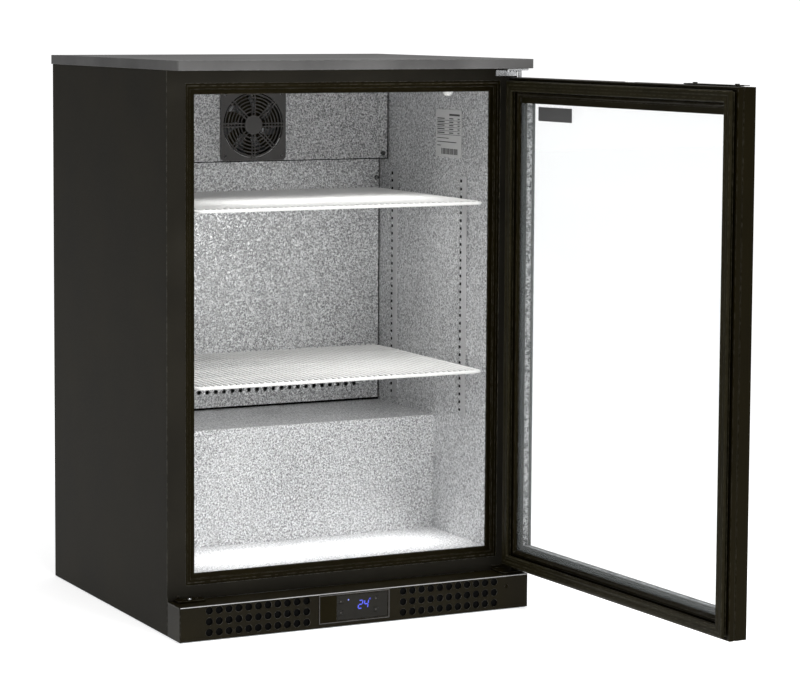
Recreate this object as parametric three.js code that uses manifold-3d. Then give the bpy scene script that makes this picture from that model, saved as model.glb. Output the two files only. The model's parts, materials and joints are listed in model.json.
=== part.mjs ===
// Undercounter refrigerator with one hinged glass door, in millimetres with +Z up.
// X runs to the right seen from the front and Y runs to the back. The origin lies on the floor
// under the middle of the cabinet. The door is drawn closed and then swung open about its hinge.
import * as THREE from "three";
import { mergeVertices } from "three/addons/utils/BufferGeometryUtils.js";
import Module from "manifold-3d";

const wasm = await Module();
wasm.setup();

// ---------------------------------------------------------------- driving dimensions
const WIDTH = 600;
const DEPTH = 535;
const HEIGHT = 865;
const GAP = 0.3; // left between pieces that touch
const SHEET = 1.2; // steel panels
const LINER_SHEET = 1;

const FRONT = -DEPTH / 2; // front of the worktop and of the plinth
const BACK = DEPTH / 2;
const WORKTOP_THICK = 14.7;
const WORKTOP_UNDER = HEIGHT - WORKTOP_THICK;
const BODY_HALF = WIDTH / 2 - 2.5;
const BODY_FRONT = FRONT + 47.5;
const BODY_BACK = BACK - 2;
const BODY_TOP = WORKTOP_UNDER - GAP;
const PANEL_FLANGE = 12.5;
const PANEL_FOOT = 1.6; // the panels end this far above the floor, clear of the base tray
const PLINTH_HEIGHT = 54;

const ROOM_HALF = 250; // half width inside the liner
const ROOM_FRONT = BODY_FRONT + 9;
const ROOM_BACK = 215;
const ROOM_FLOOR = 92.5;
const ROOM_CEILING = 815;
const HUMP_FRONT = -38.5; // the step in the floor over the machine compartment
const HUMP_TOP = 279;
const HUMP_WALL = 35; // insulation round the machine compartment
const LINER_FLANGE = 12;

const FRAME_INNER_HALF = 268; // metal surround of the opening
const FRAME_SILL = 75;
const FRAME_HEADER = 831;

const FAN_Z = 751.5;
const COVER_FRONT = 129;
const COVER_BOTTOM = 691;
const COVER_LIP = 29;
const DUCT_FRONT = 160;

const SLOT_PITCH = 12.7;
const SLOT_COUNT = 30;
const FIRST_SLOT = 300;
const STRIP_BEFORE = 20; // how far a strip reaches in front of its slots
const STRIP_BEHIND = 6;
const STRIP_DEEP = 3.7;
const STRIP_REAR = 107; // the slots' place along the wall
const STRIP_FRONT = -132;
const RIB = { width: 2.5, clear: 5 }; // clear is the distance from the slots' middle to the near rib
const UPPER_SLOT = 26; // slots that carry the shelves, counted from the lowest
const LOWER_SLOT = 5;
const SHELF_HALF = 245.4;
const SHELF_FRONT = -212;
const SHELF_BACK = 152;
const SHELF_THICK = 7;

const DOOR_HALF = 293;
const DOOR_OUTER = FRONT + 6; // outer face, door closed
const DOOR_THICK = 31.5;
const DOOR_INNER = DOOR_OUTER + DOOR_THICK;
const DOOR_BOTTOM = 64;
const DOOR_TOP = 836;
const DOOR_RAIL = 30;
const DOOR_OPEN_ANGLE = 92.5;
const PIVOT = { x: 287, y: FRONT + 21 };
const HINGE_PIN = 3;
const PIN_DEPTH = 12; // how far each pin enters the door
const PANE_THICK = 4;
const PANE_EDGE = 22; // the panes start this far inside the door's edge
const SPACER = { edge: 30.5, wide: 7.5 }; // bar between the panes, from the door's edge
const GASKET = { edge: 4.5, wide: 17 };
const LOCK = { x: -279.5, z: 822.5, barrel: 7.5, cam: 32, camHalf: 4.5 };
const KEEPER = { left: 18, right: 24, front: 3, back: 33, roof: 5 }; // pocket over the lock's cam

const PLINTH_HOLE = 5;
const PLINTH_PITCH = 16.1;
const PLINTH_COLUMNS = 11;
const PLINTH_ROWS = [12.5, 29.1, 45.7];
const PLINTH_GROUPS = [-249.5, 76.6]; // first column of each group
const CONTROL = { left: -68, right: 52, bottom: 7.5, top: 51.5, window: -38 };

const MACHINE_FRONT = HUMP_FRONT + HUMP_WALL;
const MACHINE_TOP = HUMP_TOP - HUMP_WALL;
const PIPE_HOLE = { x: 225, y: 190, radius: 9 };
const DRAIN_HOLE = { x: 150, y: 190, radius: 9 };
const FOOT = { x: 255, y: -200, pad: 15, stem: 5, bottom: 0.3, padTop: 7, top: 36 };
const FOOT_BRIDGE = { halfX: 24, halfY: 22, insideY: 19, bottom: 0.5, under: 14, top: 17 };
const TRAY_EDGE = 25; // height of the base tray's rim
const REAR_JOINT = MACHINE_TOP + 18; // where the rear panel ends and the rear grille starts
const REAR_SLOTS = { columns: [-90, 40, 170], half: 55, rows: 8, first: 56, pitch: 22, tall: 9 };
const REAR_GRILLE_FOOT = 30;
const COMPRESSOR = { x: -130, y: 130, stub: 40, stubTop: 200 };
const INLET = { x: -225, z: 70 };
const CONDENSER_FAN = { x: 120, y: 64, z: 117, radius: 71, hub: 24, thick: 12, blades: 5 };
const CONDENSER_FRAME = { half: 80, bore: 76, front: 54, back: 84, motor: 24 };
const CONDENSER = { x: [42, 215], y: [12, 50], z: [32, 200], fins: 14, bends: 4 };
const EVAPORATOR = { x: [-190, 190], y: [162, 200], z: [708, 806], fins: 14, bends: 3 };
const EVAPORATOR_FAN = { y: 138, radius: 50, hub: 19, thick: 9, blades: 7 };
const EVAPORATOR_FRAME = { half: 57, bore: 54, back: 155, motor: 18 };
const GUARD = { half: 58, deep: 4.2, bore: 52, hoops: [23, 38], hub: 8, spokes: 4 };
const DUCT_HOLES = { count: 28, pitch: 15.05, half: 3.3, z: [304.5, 312.5] };
const LAMP = { x: 185, y: ROOM_FRONT + 12 };

// ---------------------------------------------------------------- finishes
const finish = (color, roughness, metalness) => ({ color, roughness, metalness });
const BLACK_STEEL = finish(0x1d1c1b, 0.5, 0.4);
const GREY_STEEL = finish(0x4b4b4a, 0.55, 0.4);
const GALVANISED = finish(0xa9adae, 0.4, 0.9);
const STUCCO = finish(0xcfd1d0, 0.32, 0.95);
const BLACK_PLASTIC = finish(0x151514, 0.5, 0);
const GREY_PLASTIC = finish(0x464542, 0.5, 0);
const WHITE_PLASTIC = finish(0xf1f1ee, 0.4, 0);
const ZINC = finish(0xc0c2c4, 0.3, 1);
const COPPER = finish(0xb06a45, 0.35, 1);
const ALUMINIUM = finish(0xb9bcbe, 0.35, 1);
const RUBBER = finish(0x242321, 0.8, 0);
const FOAM = finish(0xd8cda1, 0.9, 0);
const GLASS = finish(0xdde8e8, 0.05, 0);
const DISPLAY = finish(0x17161a, 0.15, 0);

// ---------------------------------------------------------------- solid helpers
function toSolid(geometry) {
  const bare = geometry.clone();
  bare.deleteAttribute("normal");
  bare.deleteAttribute("uv");
  const merged = mergeVertices(bare, 1e-4);
  const mesh = new wasm.Mesh({
    numProp: 3,
    vertProperties: merged.attributes.position.array,
    triVerts: new Uint32Array(merged.index.array),
  });
  return new wasm.Manifold(mesh);
}

function toGeometry(solid) {
  const mesh = solid.getMesh();
  return new THREE.BufferGeometry()
    .setAttribute("position", new THREE.BufferAttribute(mesh.vertProperties, 3))
    .setIndex(new THREE.BufferAttribute(mesh.triVerts, 1));
}

const join = (...solids) => solids.reduce((whole, next) => whole.add(next));
const cut = (solid, ...tools) => tools.reduce((left, tool) => left.subtract(tool), solid);
const about = (half) => [-half, half];
const around = (middle, half) => [middle - half, middle + half];

// A box from its lowest and highest X, Y and Z.
function block([x0, x1], [y0, y1], [z0, z1]) {
  const geometry = new THREE.BoxGeometry(x1 - x0, y1 - y0, z1 - z0);
  geometry.translate((x0 + x1) / 2, (y0 + y1) / 2, (z0 + z1) / 2);
  return toSolid(geometry);
}

// The axis a prism runs along, with the two axes of its outline in right-handed order.
const AXES = {
  x: new THREE.Matrix4().set(0, 0, 1, 0, 1, 0, 0, 0, 0, 1, 0, 0, 0, 0, 0, 1), // outline in Y, Z
  y: new THREE.Matrix4().set(0, 1, 0, 0, 0, 0, 1, 0, 1, 0, 0, 0, 0, 0, 0, 1), // outline in Z, X
  z: new THREE.Matrix4(), // outline in X, Y
};

const toVectors = (points) => points.map(([u, v]) => new THREE.Vector2(u, v));

// A prism with the given outline, from one place to another along an axis.
function plainPrism(axis, outline, [from, to]) {
  const shape = new THREE.Shape(toVectors(outline));
  const geometry = new THREE.ExtrudeGeometry(shape, { depth: to - from, bevelEnabled: false });
  geometry.translate(0, 0, from).applyMatrix4(AXES[axis]);
  return toSolid(geometry);
}

// The same with holes right through it.
function prism(axis, outline, [from, to], holes = []) {
  const tools = holes.map((hole) => plainPrism(axis, hole, [from - 1, to + 1]));
  return cut(plainPrism(axis, outline, [from, to]), ...tools);
}

const rectangle = ([u0, u1], [v0, v1]) => [[u0, v0], [u1, v0], [u1, v1], [u0, v1]];

function polygon(u, v, radius, sides) {
  return Array.from({ length: sides }, (_, i) => {
    const turn = (2 * Math.PI * (i + 0.5)) / sides;
    return [u + radius * Math.cos(turn), v + radius * Math.sin(turn)];
  });
}

// A rectangle whose corners are cut off.
function softRectangle([u0, u1], [v0, v1], corner) {
  return [
    [u0 + corner, v0], [u1 - corner, v0], [u1, v0 + corner], [u1, v1 - corner],
    [u1 - corner, v1], [u0 + corner, v1], [u0, v1 - corner], [u0, v0 + corner],
  ];
}

const rod = (axis, [u, v], radius, span, sides = 12) =>
  prism(axis, polygon(u, v, radius, sides), span);

// A rectangular ring in the X, Z plane, between two Y values.
function ring(outerX, outerZ, innerX, innerZ, spanY) {
  return prism("y", rectangle(outerZ, outerX), spanY, [rectangle(innerZ, innerX)]);
}

function turned(profile, sides, [x, y, z]) {
  const geometry = new THREE.LatheGeometry(toVectors(profile), sides);
  geometry.rotateX(Math.PI / 2).translate(x, y, z);
  return toSolid(geometry);
}

// A round tube through corner points, with its corners rounded off.
function tube(corners, bend, radius, steps, sides) {
  const points = corners.map((corner) => new THREE.Vector3(...corner));
  const path = new THREE.CurvePath();
  let start = points[0];
  for (let i = 1; i < points.length - 1; i++) {
    const before = points[i - 1].clone().sub(points[i]).setLength(bend).add(points[i]);
    const after = points[i + 1].clone().sub(points[i]).setLength(bend).add(points[i]);
    path.add(new THREE.LineCurve3(start, before));
    path.add(new THREE.QuadraticBezierCurve3(before, points[i], after));
    start = after;
  }
  path.add(new THREE.LineCurve3(start, points[points.length - 1]));
  const section = new THREE.Shape(toVectors(polygon(0, 0, radius, sides)));
  return toSolid(new THREE.ExtrudeGeometry(section, { extrudePath: path, steps }));
}

const refrigerator = new THREE.Group();

function piece(name, solid, look, group = refrigerator) {
  const mesh = new THREE.Mesh(toGeometry(solid), new THREE.MeshStandardMaterial(look));
  mesh.name = name;
  group.add(mesh);
}

// ---------------------------------------------------------------- casing
const insidePanels = BODY_HALF - SHEET - GAP;
const behindFrame = BODY_FRONT + SHEET + GAP; // front of the side panels' flanges
const foamFront = behindFrame + SHEET + GAP;
const foamBack = BODY_BACK - SHEET - GAP;

function worktop() {
  const slab = prism(
    "z",
    softRectangle(about(WIDTH / 2), [FRONT, BACK], 2),
    [WORKTOP_UNDER, HEIGHT],
  );
  // The lock's cam turns up into a pocket behind the front rim.
  const keeper = block(
    [LOCK.x - KEEPER.left, LOCK.x + KEEPER.right],
    [FRONT + KEEPER.front, FRONT + KEEPER.back],
    [WORKTOP_UNDER - 1, HEIGHT - KEEPER.roof],
  );
  return cut(slab, keeper);
}

function sidePanel(side) {
  const outer = side * BODY_HALF;
  const inner = side * (BODY_HALF - SHEET);
  const lip = side * (BODY_HALF - PANEL_FLANGE);
  const outline = [
    [outer, behindFrame], [outer, BODY_BACK], [lip, BODY_BACK], [lip, BODY_BACK - SHEET],
    [inner, BODY_BACK - SHEET], [inner, behindFrame + SHEET], [lip, behindFrame + SHEET],
    [lip, behindFrame],
  ];
  return prism("z", outline, [PANEL_FOOT, BODY_TOP]);
}

function rearPanel() {
  const half = BODY_HALF - PANEL_FLANGE - GAP;
  return block(about(half), [BODY_BACK - SHEET, BODY_BACK], [REAR_JOINT, BODY_TOP]);
}

function rearGrille() {
  const half = BODY_HALF - PANEL_FLANGE - GAP;
  const slots = [];
  for (const x of REAR_SLOTS.columns) {
    for (let row = 0; row < REAR_SLOTS.rows; row++) {
      const z = REAR_SLOTS.first + row * REAR_SLOTS.pitch;
      slots.push(rectangle([z, z + REAR_SLOTS.tall], [x - REAR_SLOTS.half, x + REAR_SLOTS.half]));
    }
  }
  slots.push(rectangle([INLET.z - 12, INLET.z + 12], [INLET.x - 16, INLET.x + 16]));
  const outline = rectangle([REAR_GRILLE_FOOT, REAR_JOINT - GAP], about(half));
  return prism("y", outline, [BODY_BACK - SHEET, BODY_BACK], slots);
}

function baseTray() {
  const half = insidePanels - 0.2;
  const floor = block(about(half), [FRONT + SHEET + GAP, foamBack], [0, SHEET]);
  const wallSpan = [behindFrame + SHEET + GAP, foamBack];
  const left = block([-half, -half + SHEET], wallSpan, [0, TRAY_EDGE]);
  const right = block([half - SHEET, half], wallSpan, [0, TRAY_EDGE]);
  const rear = block(about(half), [foamBack - SHEET, foamBack], [0, TRAY_EDGE]);
  let tray = join(floor, left, right, rear);
  for (const side of [-1, 1]) {
    const x = side * FOOT.x;
    const bridge = cut(
      block(around(x, FOOT_BRIDGE.halfX), around(FOOT.y, FOOT_BRIDGE.halfY),
        [FOOT_BRIDGE.bottom, FOOT_BRIDGE.top]),
      block(around(x, FOOT_BRIDGE.halfX + 1), around(FOOT.y, FOOT_BRIDGE.insideY),
        [0, FOOT_BRIDGE.under]),
    );
    tray = cut(
      join(tray, bridge),
      rod("z", [x, FOOT.y], FOOT.pad + 1, [-1, 10], 16),
      rod("z", [x, FOOT.y], FOOT.stem + GAP, [10, 20], 12),
    );
  }
  return tray;
}

function levellingFoot(side) {
  const at = [side * FOOT.x, FOOT.y];
  const pad = rod("z", at, FOOT.pad, [FOOT.bottom, FOOT.padTop], 16);
  return join(pad, rod("z", at, FOOT.stem, [FOOT.padTop - 1, FOOT.top], 12));
}

// The folded sheet that closes the insulation over the machine compartment.
function undersidePanel() {
  const low = PLINTH_HEIGHT + 0.5;
  const outline = [
    [foamFront, low], [MACHINE_FRONT + SHEET, low], [MACHINE_FRONT + SHEET, MACHINE_TOP - SHEET],
    [foamBack, MACHINE_TOP - SHEET], [foamBack, MACHINE_TOP], [MACHINE_FRONT, MACHINE_TOP],
    [MACHINE_FRONT, low + SHEET], [foamFront, low + SHEET],
  ];
  return cut(prism("x", outline, about(insidePanels)), ...serviceHoles());
}

function serviceHoles() {
  return [PIPE_HOLE, DRAIN_HOLE].map(({ x, y, radius }) =>
    rod("z", [x, y], radius, [MACHINE_TOP - 5, HUMP_TOP + 5], 12),
  );
}

// The inside of the cabinet as an outline in Y, Z, grown by a margin towards the insulation.
function roomOutline(margin, front) {
  return [
    [front, ROOM_FLOOR - margin], [HUMP_FRONT + margin, ROOM_FLOOR - margin],
    [HUMP_FRONT + margin, HUMP_TOP - margin], [ROOM_BACK + margin, HUMP_TOP - margin],
    [ROOM_BACK + margin, ROOM_CEILING + margin], [front, ROOM_CEILING + margin],
  ];
}

function innerLiner() {
  const sheet = LINER_SHEET;
  const shell = prism("x", roomOutline(sheet, ROOM_FRONT), about(ROOM_HALF + sheet));
  const flange = block(
    about(ROOM_HALF + LINER_FLANGE),
    [ROOM_FRONT, ROOM_FRONT + sheet],
    [ROOM_FLOOR - LINER_FLANGE, ROOM_CEILING + LINER_FLANGE],
  );
  const hollow = prism("x", roomOutline(0, ROOM_FRONT - 1), about(ROOM_HALF));
  return cut(join(shell, flange), hollow, ...serviceHoles());
}

function insulationFoam() {
  const low = PLINTH_HEIGHT + 0.5 + SHEET + GAP;
  const outline = [
    [foamFront, low], [MACHINE_FRONT - GAP, low], [MACHINE_FRONT - GAP, MACHINE_TOP + GAP],
    [foamBack, MACHINE_TOP + GAP], [foamBack, BODY_TOP], [foamFront, BODY_TOP],
  ];
  const around = LINER_SHEET + GAP;
  const room = prism("x", roomOutline(around, foamFront - 1), about(ROOM_HALF + around));
  const rebate = block(
    about(FRAME_INNER_HALF),
    [foamFront - 1, ROOM_FRONT + LINER_SHEET + GAP],
    [FRAME_SILL, FRAME_HEADER],
  );
  return cut(prism("x", outline, about(insidePanels)), room, rebate, ...serviceHoles());
}

function frontFrame() {
  return ring(
    about(BODY_HALF), [PLINTH_HEIGHT + 0.6, BODY_TOP],
    about(FRAME_INNER_HALF), [FRAME_SILL, FRAME_HEADER],
    [BODY_FRONT, BODY_FRONT + SHEET],
  );
}

// The plastic ring that separates the cold liner from the outer frame, thinner towards the room.
function breakerFrame() {
  const half = FRAME_INNER_HALF - GAP;
  const low = FRAME_SILL + GAP;
  const high = FRAME_HEADER - GAP;
  const back = ROOM_FRONT - GAP;
  const full = ring(
    about(half), [low, high],
    about(ROOM_HALF + GAP), [ROOM_FLOOR - GAP, ROOM_CEILING + GAP],
    [BODY_FRONT + 1, back],
  );
  const step = 9;
  const recess = block(
    about(half - step), [BODY_FRONT, back - 3], [low + step, high - step],
  );
  return cut(full, recess);
}

// ---------------------------------------------------------------- plinth and controls
function plinthGrille() {
  const holes = [];
  for (const first of PLINTH_GROUPS) {
    for (let column = 0; column < PLINTH_COLUMNS; column++) {
      for (const z of PLINTH_ROWS) {
        holes.push(polygon(z, first + column * PLINTH_PITCH, PLINTH_HOLE, 6));
      }
    }
  }
  const window = [CONTROL.left + 0.5, CONTROL.right - 0.5];
  holes.push(rectangle([CONTROL.bottom + 0.5, CONTROL.top - 0.5], window));
  const face = prism(
    "y",
    rectangle([PANEL_FOOT, PLINTH_HEIGHT], about(BODY_HALF)),
    [FRONT, FRONT + SHEET],
    holes,
  );
  const depth = [FRONT + 0.1, BODY_FRONT - GAP];
  const shelf = block(about(BODY_HALF), depth, [PLINTH_HEIGHT - SHEET, PLINTH_HEIGHT]);
  const left = block([-BODY_HALF, -BODY_HALF + SHEET], depth, [PANEL_FOOT, PLINTH_HEIGHT]);
  const right = block([BODY_HALF - SHEET, BODY_HALF], depth, [PANEL_FOOT, PLINTH_HEIGHT]);
  return join(face, shelf, left, right);
}

const BUTTONS = {
  set_button: [-31, 39.5],
  lamp_button: [-31, 22],
  up_button: [29, 39.5],
  down_button: [29, 22],
};
const BUTTON_HALF = { x: 4, z: 3 };
const BEZEL_RIM = 2.5;
const BEZEL_FACE = FRONT - 0.8;
const WINDOW_FACE = FRONT - 0.3;

function controlBezel() {
  const spanX = [CONTROL.left + 0.8, CONTROL.right - 0.8];
  const spanZ = [CONTROL.bottom + 0.8, CONTROL.top - 0.8];
  const box = block(spanX, [FRONT - 0.1, FRONT + 26], spanZ);
  const rim = block(
    [CONTROL.left, CONTROL.right],
    [BEZEL_FACE, FRONT - GAP + 0.25],
    [CONTROL.bottom, CONTROL.top],
  );
  const recess = block(
    [CONTROL.window, CONTROL.right - BEZEL_RIM],
    [FRONT - 2, FRONT + 6],
    [CONTROL.bottom + BEZEL_RIM, CONTROL.top - BEZEL_RIM],
  );
  return cut(join(box, rim), recess);
}

function displayWindow() {
  const holes = Object.values(BUTTONS).map(([x, z]) =>
    rectangle([z - BUTTON_HALF.z - GAP, z + BUTTON_HALF.z + GAP],
      [x - BUTTON_HALF.x - GAP, x + BUTTON_HALF.x + GAP]),
  );
  const outline = rectangle(
    [CONTROL.bottom + BEZEL_RIM + GAP, CONTROL.top - BEZEL_RIM - GAP],
    [CONTROL.window + GAP, CONTROL.right - BEZEL_RIM - GAP],
  );
  return prism("y", outline, [WINDOW_FACE, WINDOW_FACE + 2.4], holes);
}

function controlButton([x, z]) {
  const { x: halfX, z: halfZ } = BUTTON_HALF;
  return block([x - halfX, x + halfX], [WINDOW_FACE - 0.2, WINDOW_FACE + 4], [z - halfZ, z + halfZ]);
}

// ---------------------------------------------------------------- cold air
// A rotor along Y: a hub and flat blades, each turned about its own length.
function fanRotor([x, y, z], { radius, hub, thick, blades }) {
  let rotor = prism("y", polygon(0, 0, hub, 16), [-thick / 2, thick / 2]);
  for (let i = 0; i < blades; i++) {
    const inner = hub - 4;
    const blade = new THREE.BoxGeometry(radius - inner, 1.6, radius * 0.42);
    blade.rotateX(0.5).translate((radius + inner) / 2, 0, 0).rotateY((2 * Math.PI * i) / blades);
    rotor = rotor.add(toSolid(blade));
  }
  return toSolid(toGeometry(rotor).translate(x, y, z));
}

// A square housing along Y with a round bore, a motor in its middle and four arms at the back.
function fanFrame([x, z], half, bore, [front, back], motor) {
  const outline = softRectangle([z - half, z + half], [x - half, x + half], 6);
  const shell = prism("y", outline, [front, back], [polygon(z, x, bore, 24)]);
  const hub = rod("y", [z, x], motor, [back - 9, back], 16);
  const bar = block([x - bore - 1, x + bore + 1], [back - 3, back], [z - 2.5, z + 2.5]);
  const post = block([x - 2.5, x + 2.5], [back - 3, back], [z - bore - 1, z + bore + 1]);
  return join(shell, hub, bar, post);
}

function fanGuard() {
  const half = GUARD.half;
  const front = COVER_FRONT - GAP - GUARD.deep;
  const back = COVER_FRONT - GAP;
  const outline = softRectangle([FAN_Z - half, FAN_Z + half], about(half), 7);
  let guard = prism("y", outline, [front, back], [polygon(FAN_Z, 0, GUARD.bore, 20)]);
  for (const radius of GUARD.hoops) {
    const hoop = prism("y", polygon(FAN_Z, 0, radius + 1.5, 16), [front, back - 1],
      [polygon(FAN_Z, 0, radius - 1.5, 16)]);
    guard = guard.add(hoop);
  }
  guard = guard.add(rod("y", [FAN_Z, 0], GUARD.hub, [front, back - 1], 12));
  for (let i = 0; i < GUARD.spokes; i++) {
    const spoke = new THREE.BoxGeometry(2 * GUARD.bore + 2, 2.4, 3);
    spoke.rotateY((Math.PI * i) / GUARD.spokes).translate(0, back - 2.6, FAN_Z);
    guard = guard.add(toSolid(spoke));
  }
  return guard;
}

function evaporatorCover() {
  const half = ROOM_HALF - GAP;
  const top = ROOM_CEILING - GAP;
  const face = prism("y", rectangle([COVER_BOTTOM, top], about(half)),
    [COVER_FRONT, COVER_FRONT + LINER_SHEET], [polygon(FAN_Z, 0, 53, 24)]);
  const lip = block(about(half), [COVER_FRONT, COVER_FRONT + COVER_LIP],
    [COVER_BOTTOM, COVER_BOTTOM + LINER_SHEET]);
  return join(face, lip);
}

function airDuctPanel() {
  const holes = [];
  for (let i = 0; i < DUCT_HOLES.count; i++) {
    const x = (i - (DUCT_HOLES.count - 1) / 2) * DUCT_HOLES.pitch;
    holes.push(rectangle(DUCT_HOLES.z, around(x, DUCT_HOLES.half)));
  }
  const outline = rectangle([HUMP_TOP + GAP, COVER_BOTTOM - GAP], about(ROOM_HALF - GAP));
  return prism("y", outline, [DUCT_FRONT, DUCT_FRONT + LINER_SHEET], holes);
}

// A finned block seen from above: a back plate with fins towards the front.
function combOutline([x0, x1], [y0, y1], fins) {
  const pitch = (x1 - x0) / fins;
  const fin = pitch * 0.3;
  const points = [[x1, y1], [x0, y1]];
  for (let i = 0; i < fins; i++) {
    const x = x0 + i * pitch;
    points.push([x, y0], [x + fin, y0], [x + fin, y1 - 5], [x + pitch, y1 - 5]);
  }
  return points;
}

function finnedCoil({ x: spanX, y: spanY, z: spanZ, fins, bends }) {
  let coil = prism("z", combOutline(spanX, spanY, fins), spanZ);
  const y = spanY[1] - 3;
  const step = (spanZ[1] - spanZ[0]) / (2 * bends);
  for (let i = 0; i < bends; i++) {
    const z = spanZ[0] + step * (2 * i + 0.5);
    const x = spanX[0] + 1;
    const corners = [[x, y, z], [x - 16, y, z], [x - 16, y, z + step], [x, y, z + step]];
    coil = coil.add(tube(corners, 7, 2.8, 9, 6));
  }
  return coil;
}

function dripPan() {
  const outer = block(about(185), [165, 206], [694, 703]);
  const inner = block(about(183.5), [166.5, 204.5], [695.5, 704]);
  return cut(outer, inner, rod("z", [DRAIN_HOLE.x, DRAIN_HOLE.y], 4, [690, 700], 8));
}

// ---------------------------------------------------------------- shelves
const slotZ = (slot) => FIRST_SLOT + slot * SLOT_PITCH;
// A clip's shape from its wall and the middle of its slot.
const CLIP = { rise: 5.2, reach: 11, lip: 4, drop: 9.2, tongue: 1.6 };
const SLOT_HALF = { y: 4, z: 2 };

// A slotted strip on a side wall, with a channel of two ribs in front of its slots.
function pilaster(side, y) {
  const wall = ROOM_HALF - GAP;
  const bottom = FIRST_SLOT - 8;
  const top = slotZ(SLOT_COUNT - 1) + 8;
  const holes = [];
  for (let slot = 0; slot < SLOT_COUNT; slot++) {
    const z = slotZ(slot);
    holes.push(rectangle(around(y, SLOT_HALF.y), around(z, SLOT_HALF.z)));
  }
  const spanX = (near, far) => [side * near, side * far].sort((a, b) => a - b);
  const front = y - STRIP_BEFORE;
  const outline = rectangle([front, y + STRIP_BEHIND], [bottom, top]);
  const back = prism("x", outline, spanX(wall - SHEET, wall), holes);
  const ribX = spanX(wall - STRIP_DEEP, wall - SHEET / 2);
  const nearRib = y - RIB.clear;
  const first = block(ribX, [front, front + RIB.width], [bottom, top]);
  const second = block(ribX, [nearRib - RIB.width, nearRib], [bottom, top]);
  return join(back, first, second);
}

function shelfClip(side, y, slot) {
  const wall = ROOM_HALF - GAP;
  const z = slotZ(slot);
  const top = z + CLIP.rise;
  const face = wall - SHEET - GAP;
  const tip = wall - CLIP.reach;
  const outline = [
    [tip, top], [tip, top - CLIP.lip], [face, z - CLIP.drop], [face, z - CLIP.tongue],
    [wall - GAP, z - CLIP.tongue], [wall - GAP, z + CLIP.tongue], [face, z + CLIP.tongue], [face, top],
  ].map(([x, height]) => [height, side * x]);
  return prism("y", outline, [y - SLOT_HALF.y + GAP, y + SLOT_HALF.y - GAP]);
}

function wireShelf(slot) {
  const bottom = slotZ(slot) + CLIP.rise + GAP;
  const bar = 5;
  const wire = 3;
  const columns = 12;
  const rows = 3;
  const windowX = (2 * SHELF_HALF - 2 * bar - (columns - 1) * wire) / columns;
  const windowY = (SHELF_BACK - SHELF_FRONT - 2 * bar - (rows - 1) * bar) / rows;
  const holes = [];
  for (let i = 0; i < columns; i++) {
    for (let j = 0; j < rows; j++) {
      const x = -SHELF_HALF + bar + i * (windowX + wire);
      const y = SHELF_FRONT + bar + j * (windowY + bar);
      holes.push(rectangle([x, x + windowX], [y, y + windowY]));
    }
  }
  const outline = rectangle(about(SHELF_HALF), [SHELF_FRONT, SHELF_BACK]);
  return prism("z", outline, [bottom, bottom + SHELF_THICK], holes);
}

function interiorLamp() {
  const at = [LAMP.x, LAMP.y];
  return join(
    rod("z", at, 8, [ROOM_CEILING - 5, ROOM_CEILING - GAP], 12),
    rod("z", at, 5.5, [ROOM_CEILING - 7.5, ROOM_CEILING - 4], 12),
  );
}

// ---------------------------------------------------------------- machine compartment

function compressor() {
  const { x, y } = COMPRESSOR;
  const profile = [
    [0, 38], [58, 38], [72, 46], [76, 60], [76, 112], [78, 114], [78, 118], [76, 120],
    [76, 158], [68, 176], [48, 188], [0, 194],
  ];
  const shell = turned(profile, 24, [x, y, 0]);
  const plate = block([x - 95, x + 95], [y - 70, y + 70], [30, 33]);
  const pedestal = rod("z", [x, y], 40, [32, 42], 12);
  const stub = rod("z", [x + COMPRESSOR.stub, y], 5, [170, COMPRESSOR.stubTop], 10);
  const terminals = block([x - 100, x - 70], [y - 24, y + 24], [80, 140]);
  const feet = [-80, 80].flatMap((dx) =>
    [-56, 56].map((dy) => rod("z", [x + dx, y + dy], 10, [SHEET + GAP, 31], 10)),
  );
  return join(shell, plate, pedestal, stub, terminals, ...feet);
}

function refrigerantPipe() {
  const start = [COMPRESSOR.x + COMPRESSOR.stub, COMPRESSOR.y];
  const rise = 222;
  const coilZ = 756;
  const corners = [
    [...start, COMPRESSOR.stubTop + GAP], [...start, rise], [PIPE_HOLE.x, PIPE_HOLE.y, rise],
    [PIPE_HOLE.x, PIPE_HOLE.y, coilZ], [EVAPORATOR.x[1] + GAP, PIPE_HOLE.y, coilZ],
  ];
  return tube(corners, 18, 4, 30, 6);
}

function drainTube() {
  const outer = 6;
  const inner = 4;
  const profile = [[inner, 46], [outer, 46], [outer, 693.7], [inner, 693.7], [inner, 46]];
  return turned(profile, 10, [DRAIN_HOLE.x, DRAIN_HOLE.y, 0]);
}

function evaporationTray() {
  const outer = block([70, 240], [118, 250], [SHEET + GAP, 34]);
  return cut(outer, block([72, 238], [120, 248], [4, 35]));
}

function powerInlet() {
  const { x, z } = INLET;
  const flange = block([x - 20, x + 20], [BODY_BACK + GAP, BODY_BACK + 2], [z - 15, z + 15]);
  const body = block([x - 15, x + 15], [BODY_BACK - 24, BODY_BACK + 1], [z - 11, z + 11]);
  const socket = block([x - 12, x + 12], [BODY_BACK - 16, BODY_BACK + 3], [z - 8, z + 8]);
  const blades = [-7, 0, 7].map((dx) =>
    block([x + dx - 1, x + dx + 1], [BODY_BACK - 17, BODY_BACK - 2], [z - 3, z + 3]),
  );
  return join(cut(join(flange, body), socket), ...blades);
}

// ---------------------------------------------------------------- hinges and door
function hingePlate([plateLow, plateHigh], [legLow, legHigh], [pinLow, pinHigh]) {
  const spanX = [258, 295];
  const plate = block(spanX, [FRONT + 8, BODY_FRONT - GAP], [plateLow, plateHigh]);
  const leg = block(spanX, [BODY_FRONT - GAP - 3, BODY_FRONT - GAP], [legLow, legHigh]);
  return join(plate, leg, rod("z", [PIVOT.x, PIVOT.y], HINGE_PIN, [pinLow, pinHigh], 16));
}

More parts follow.
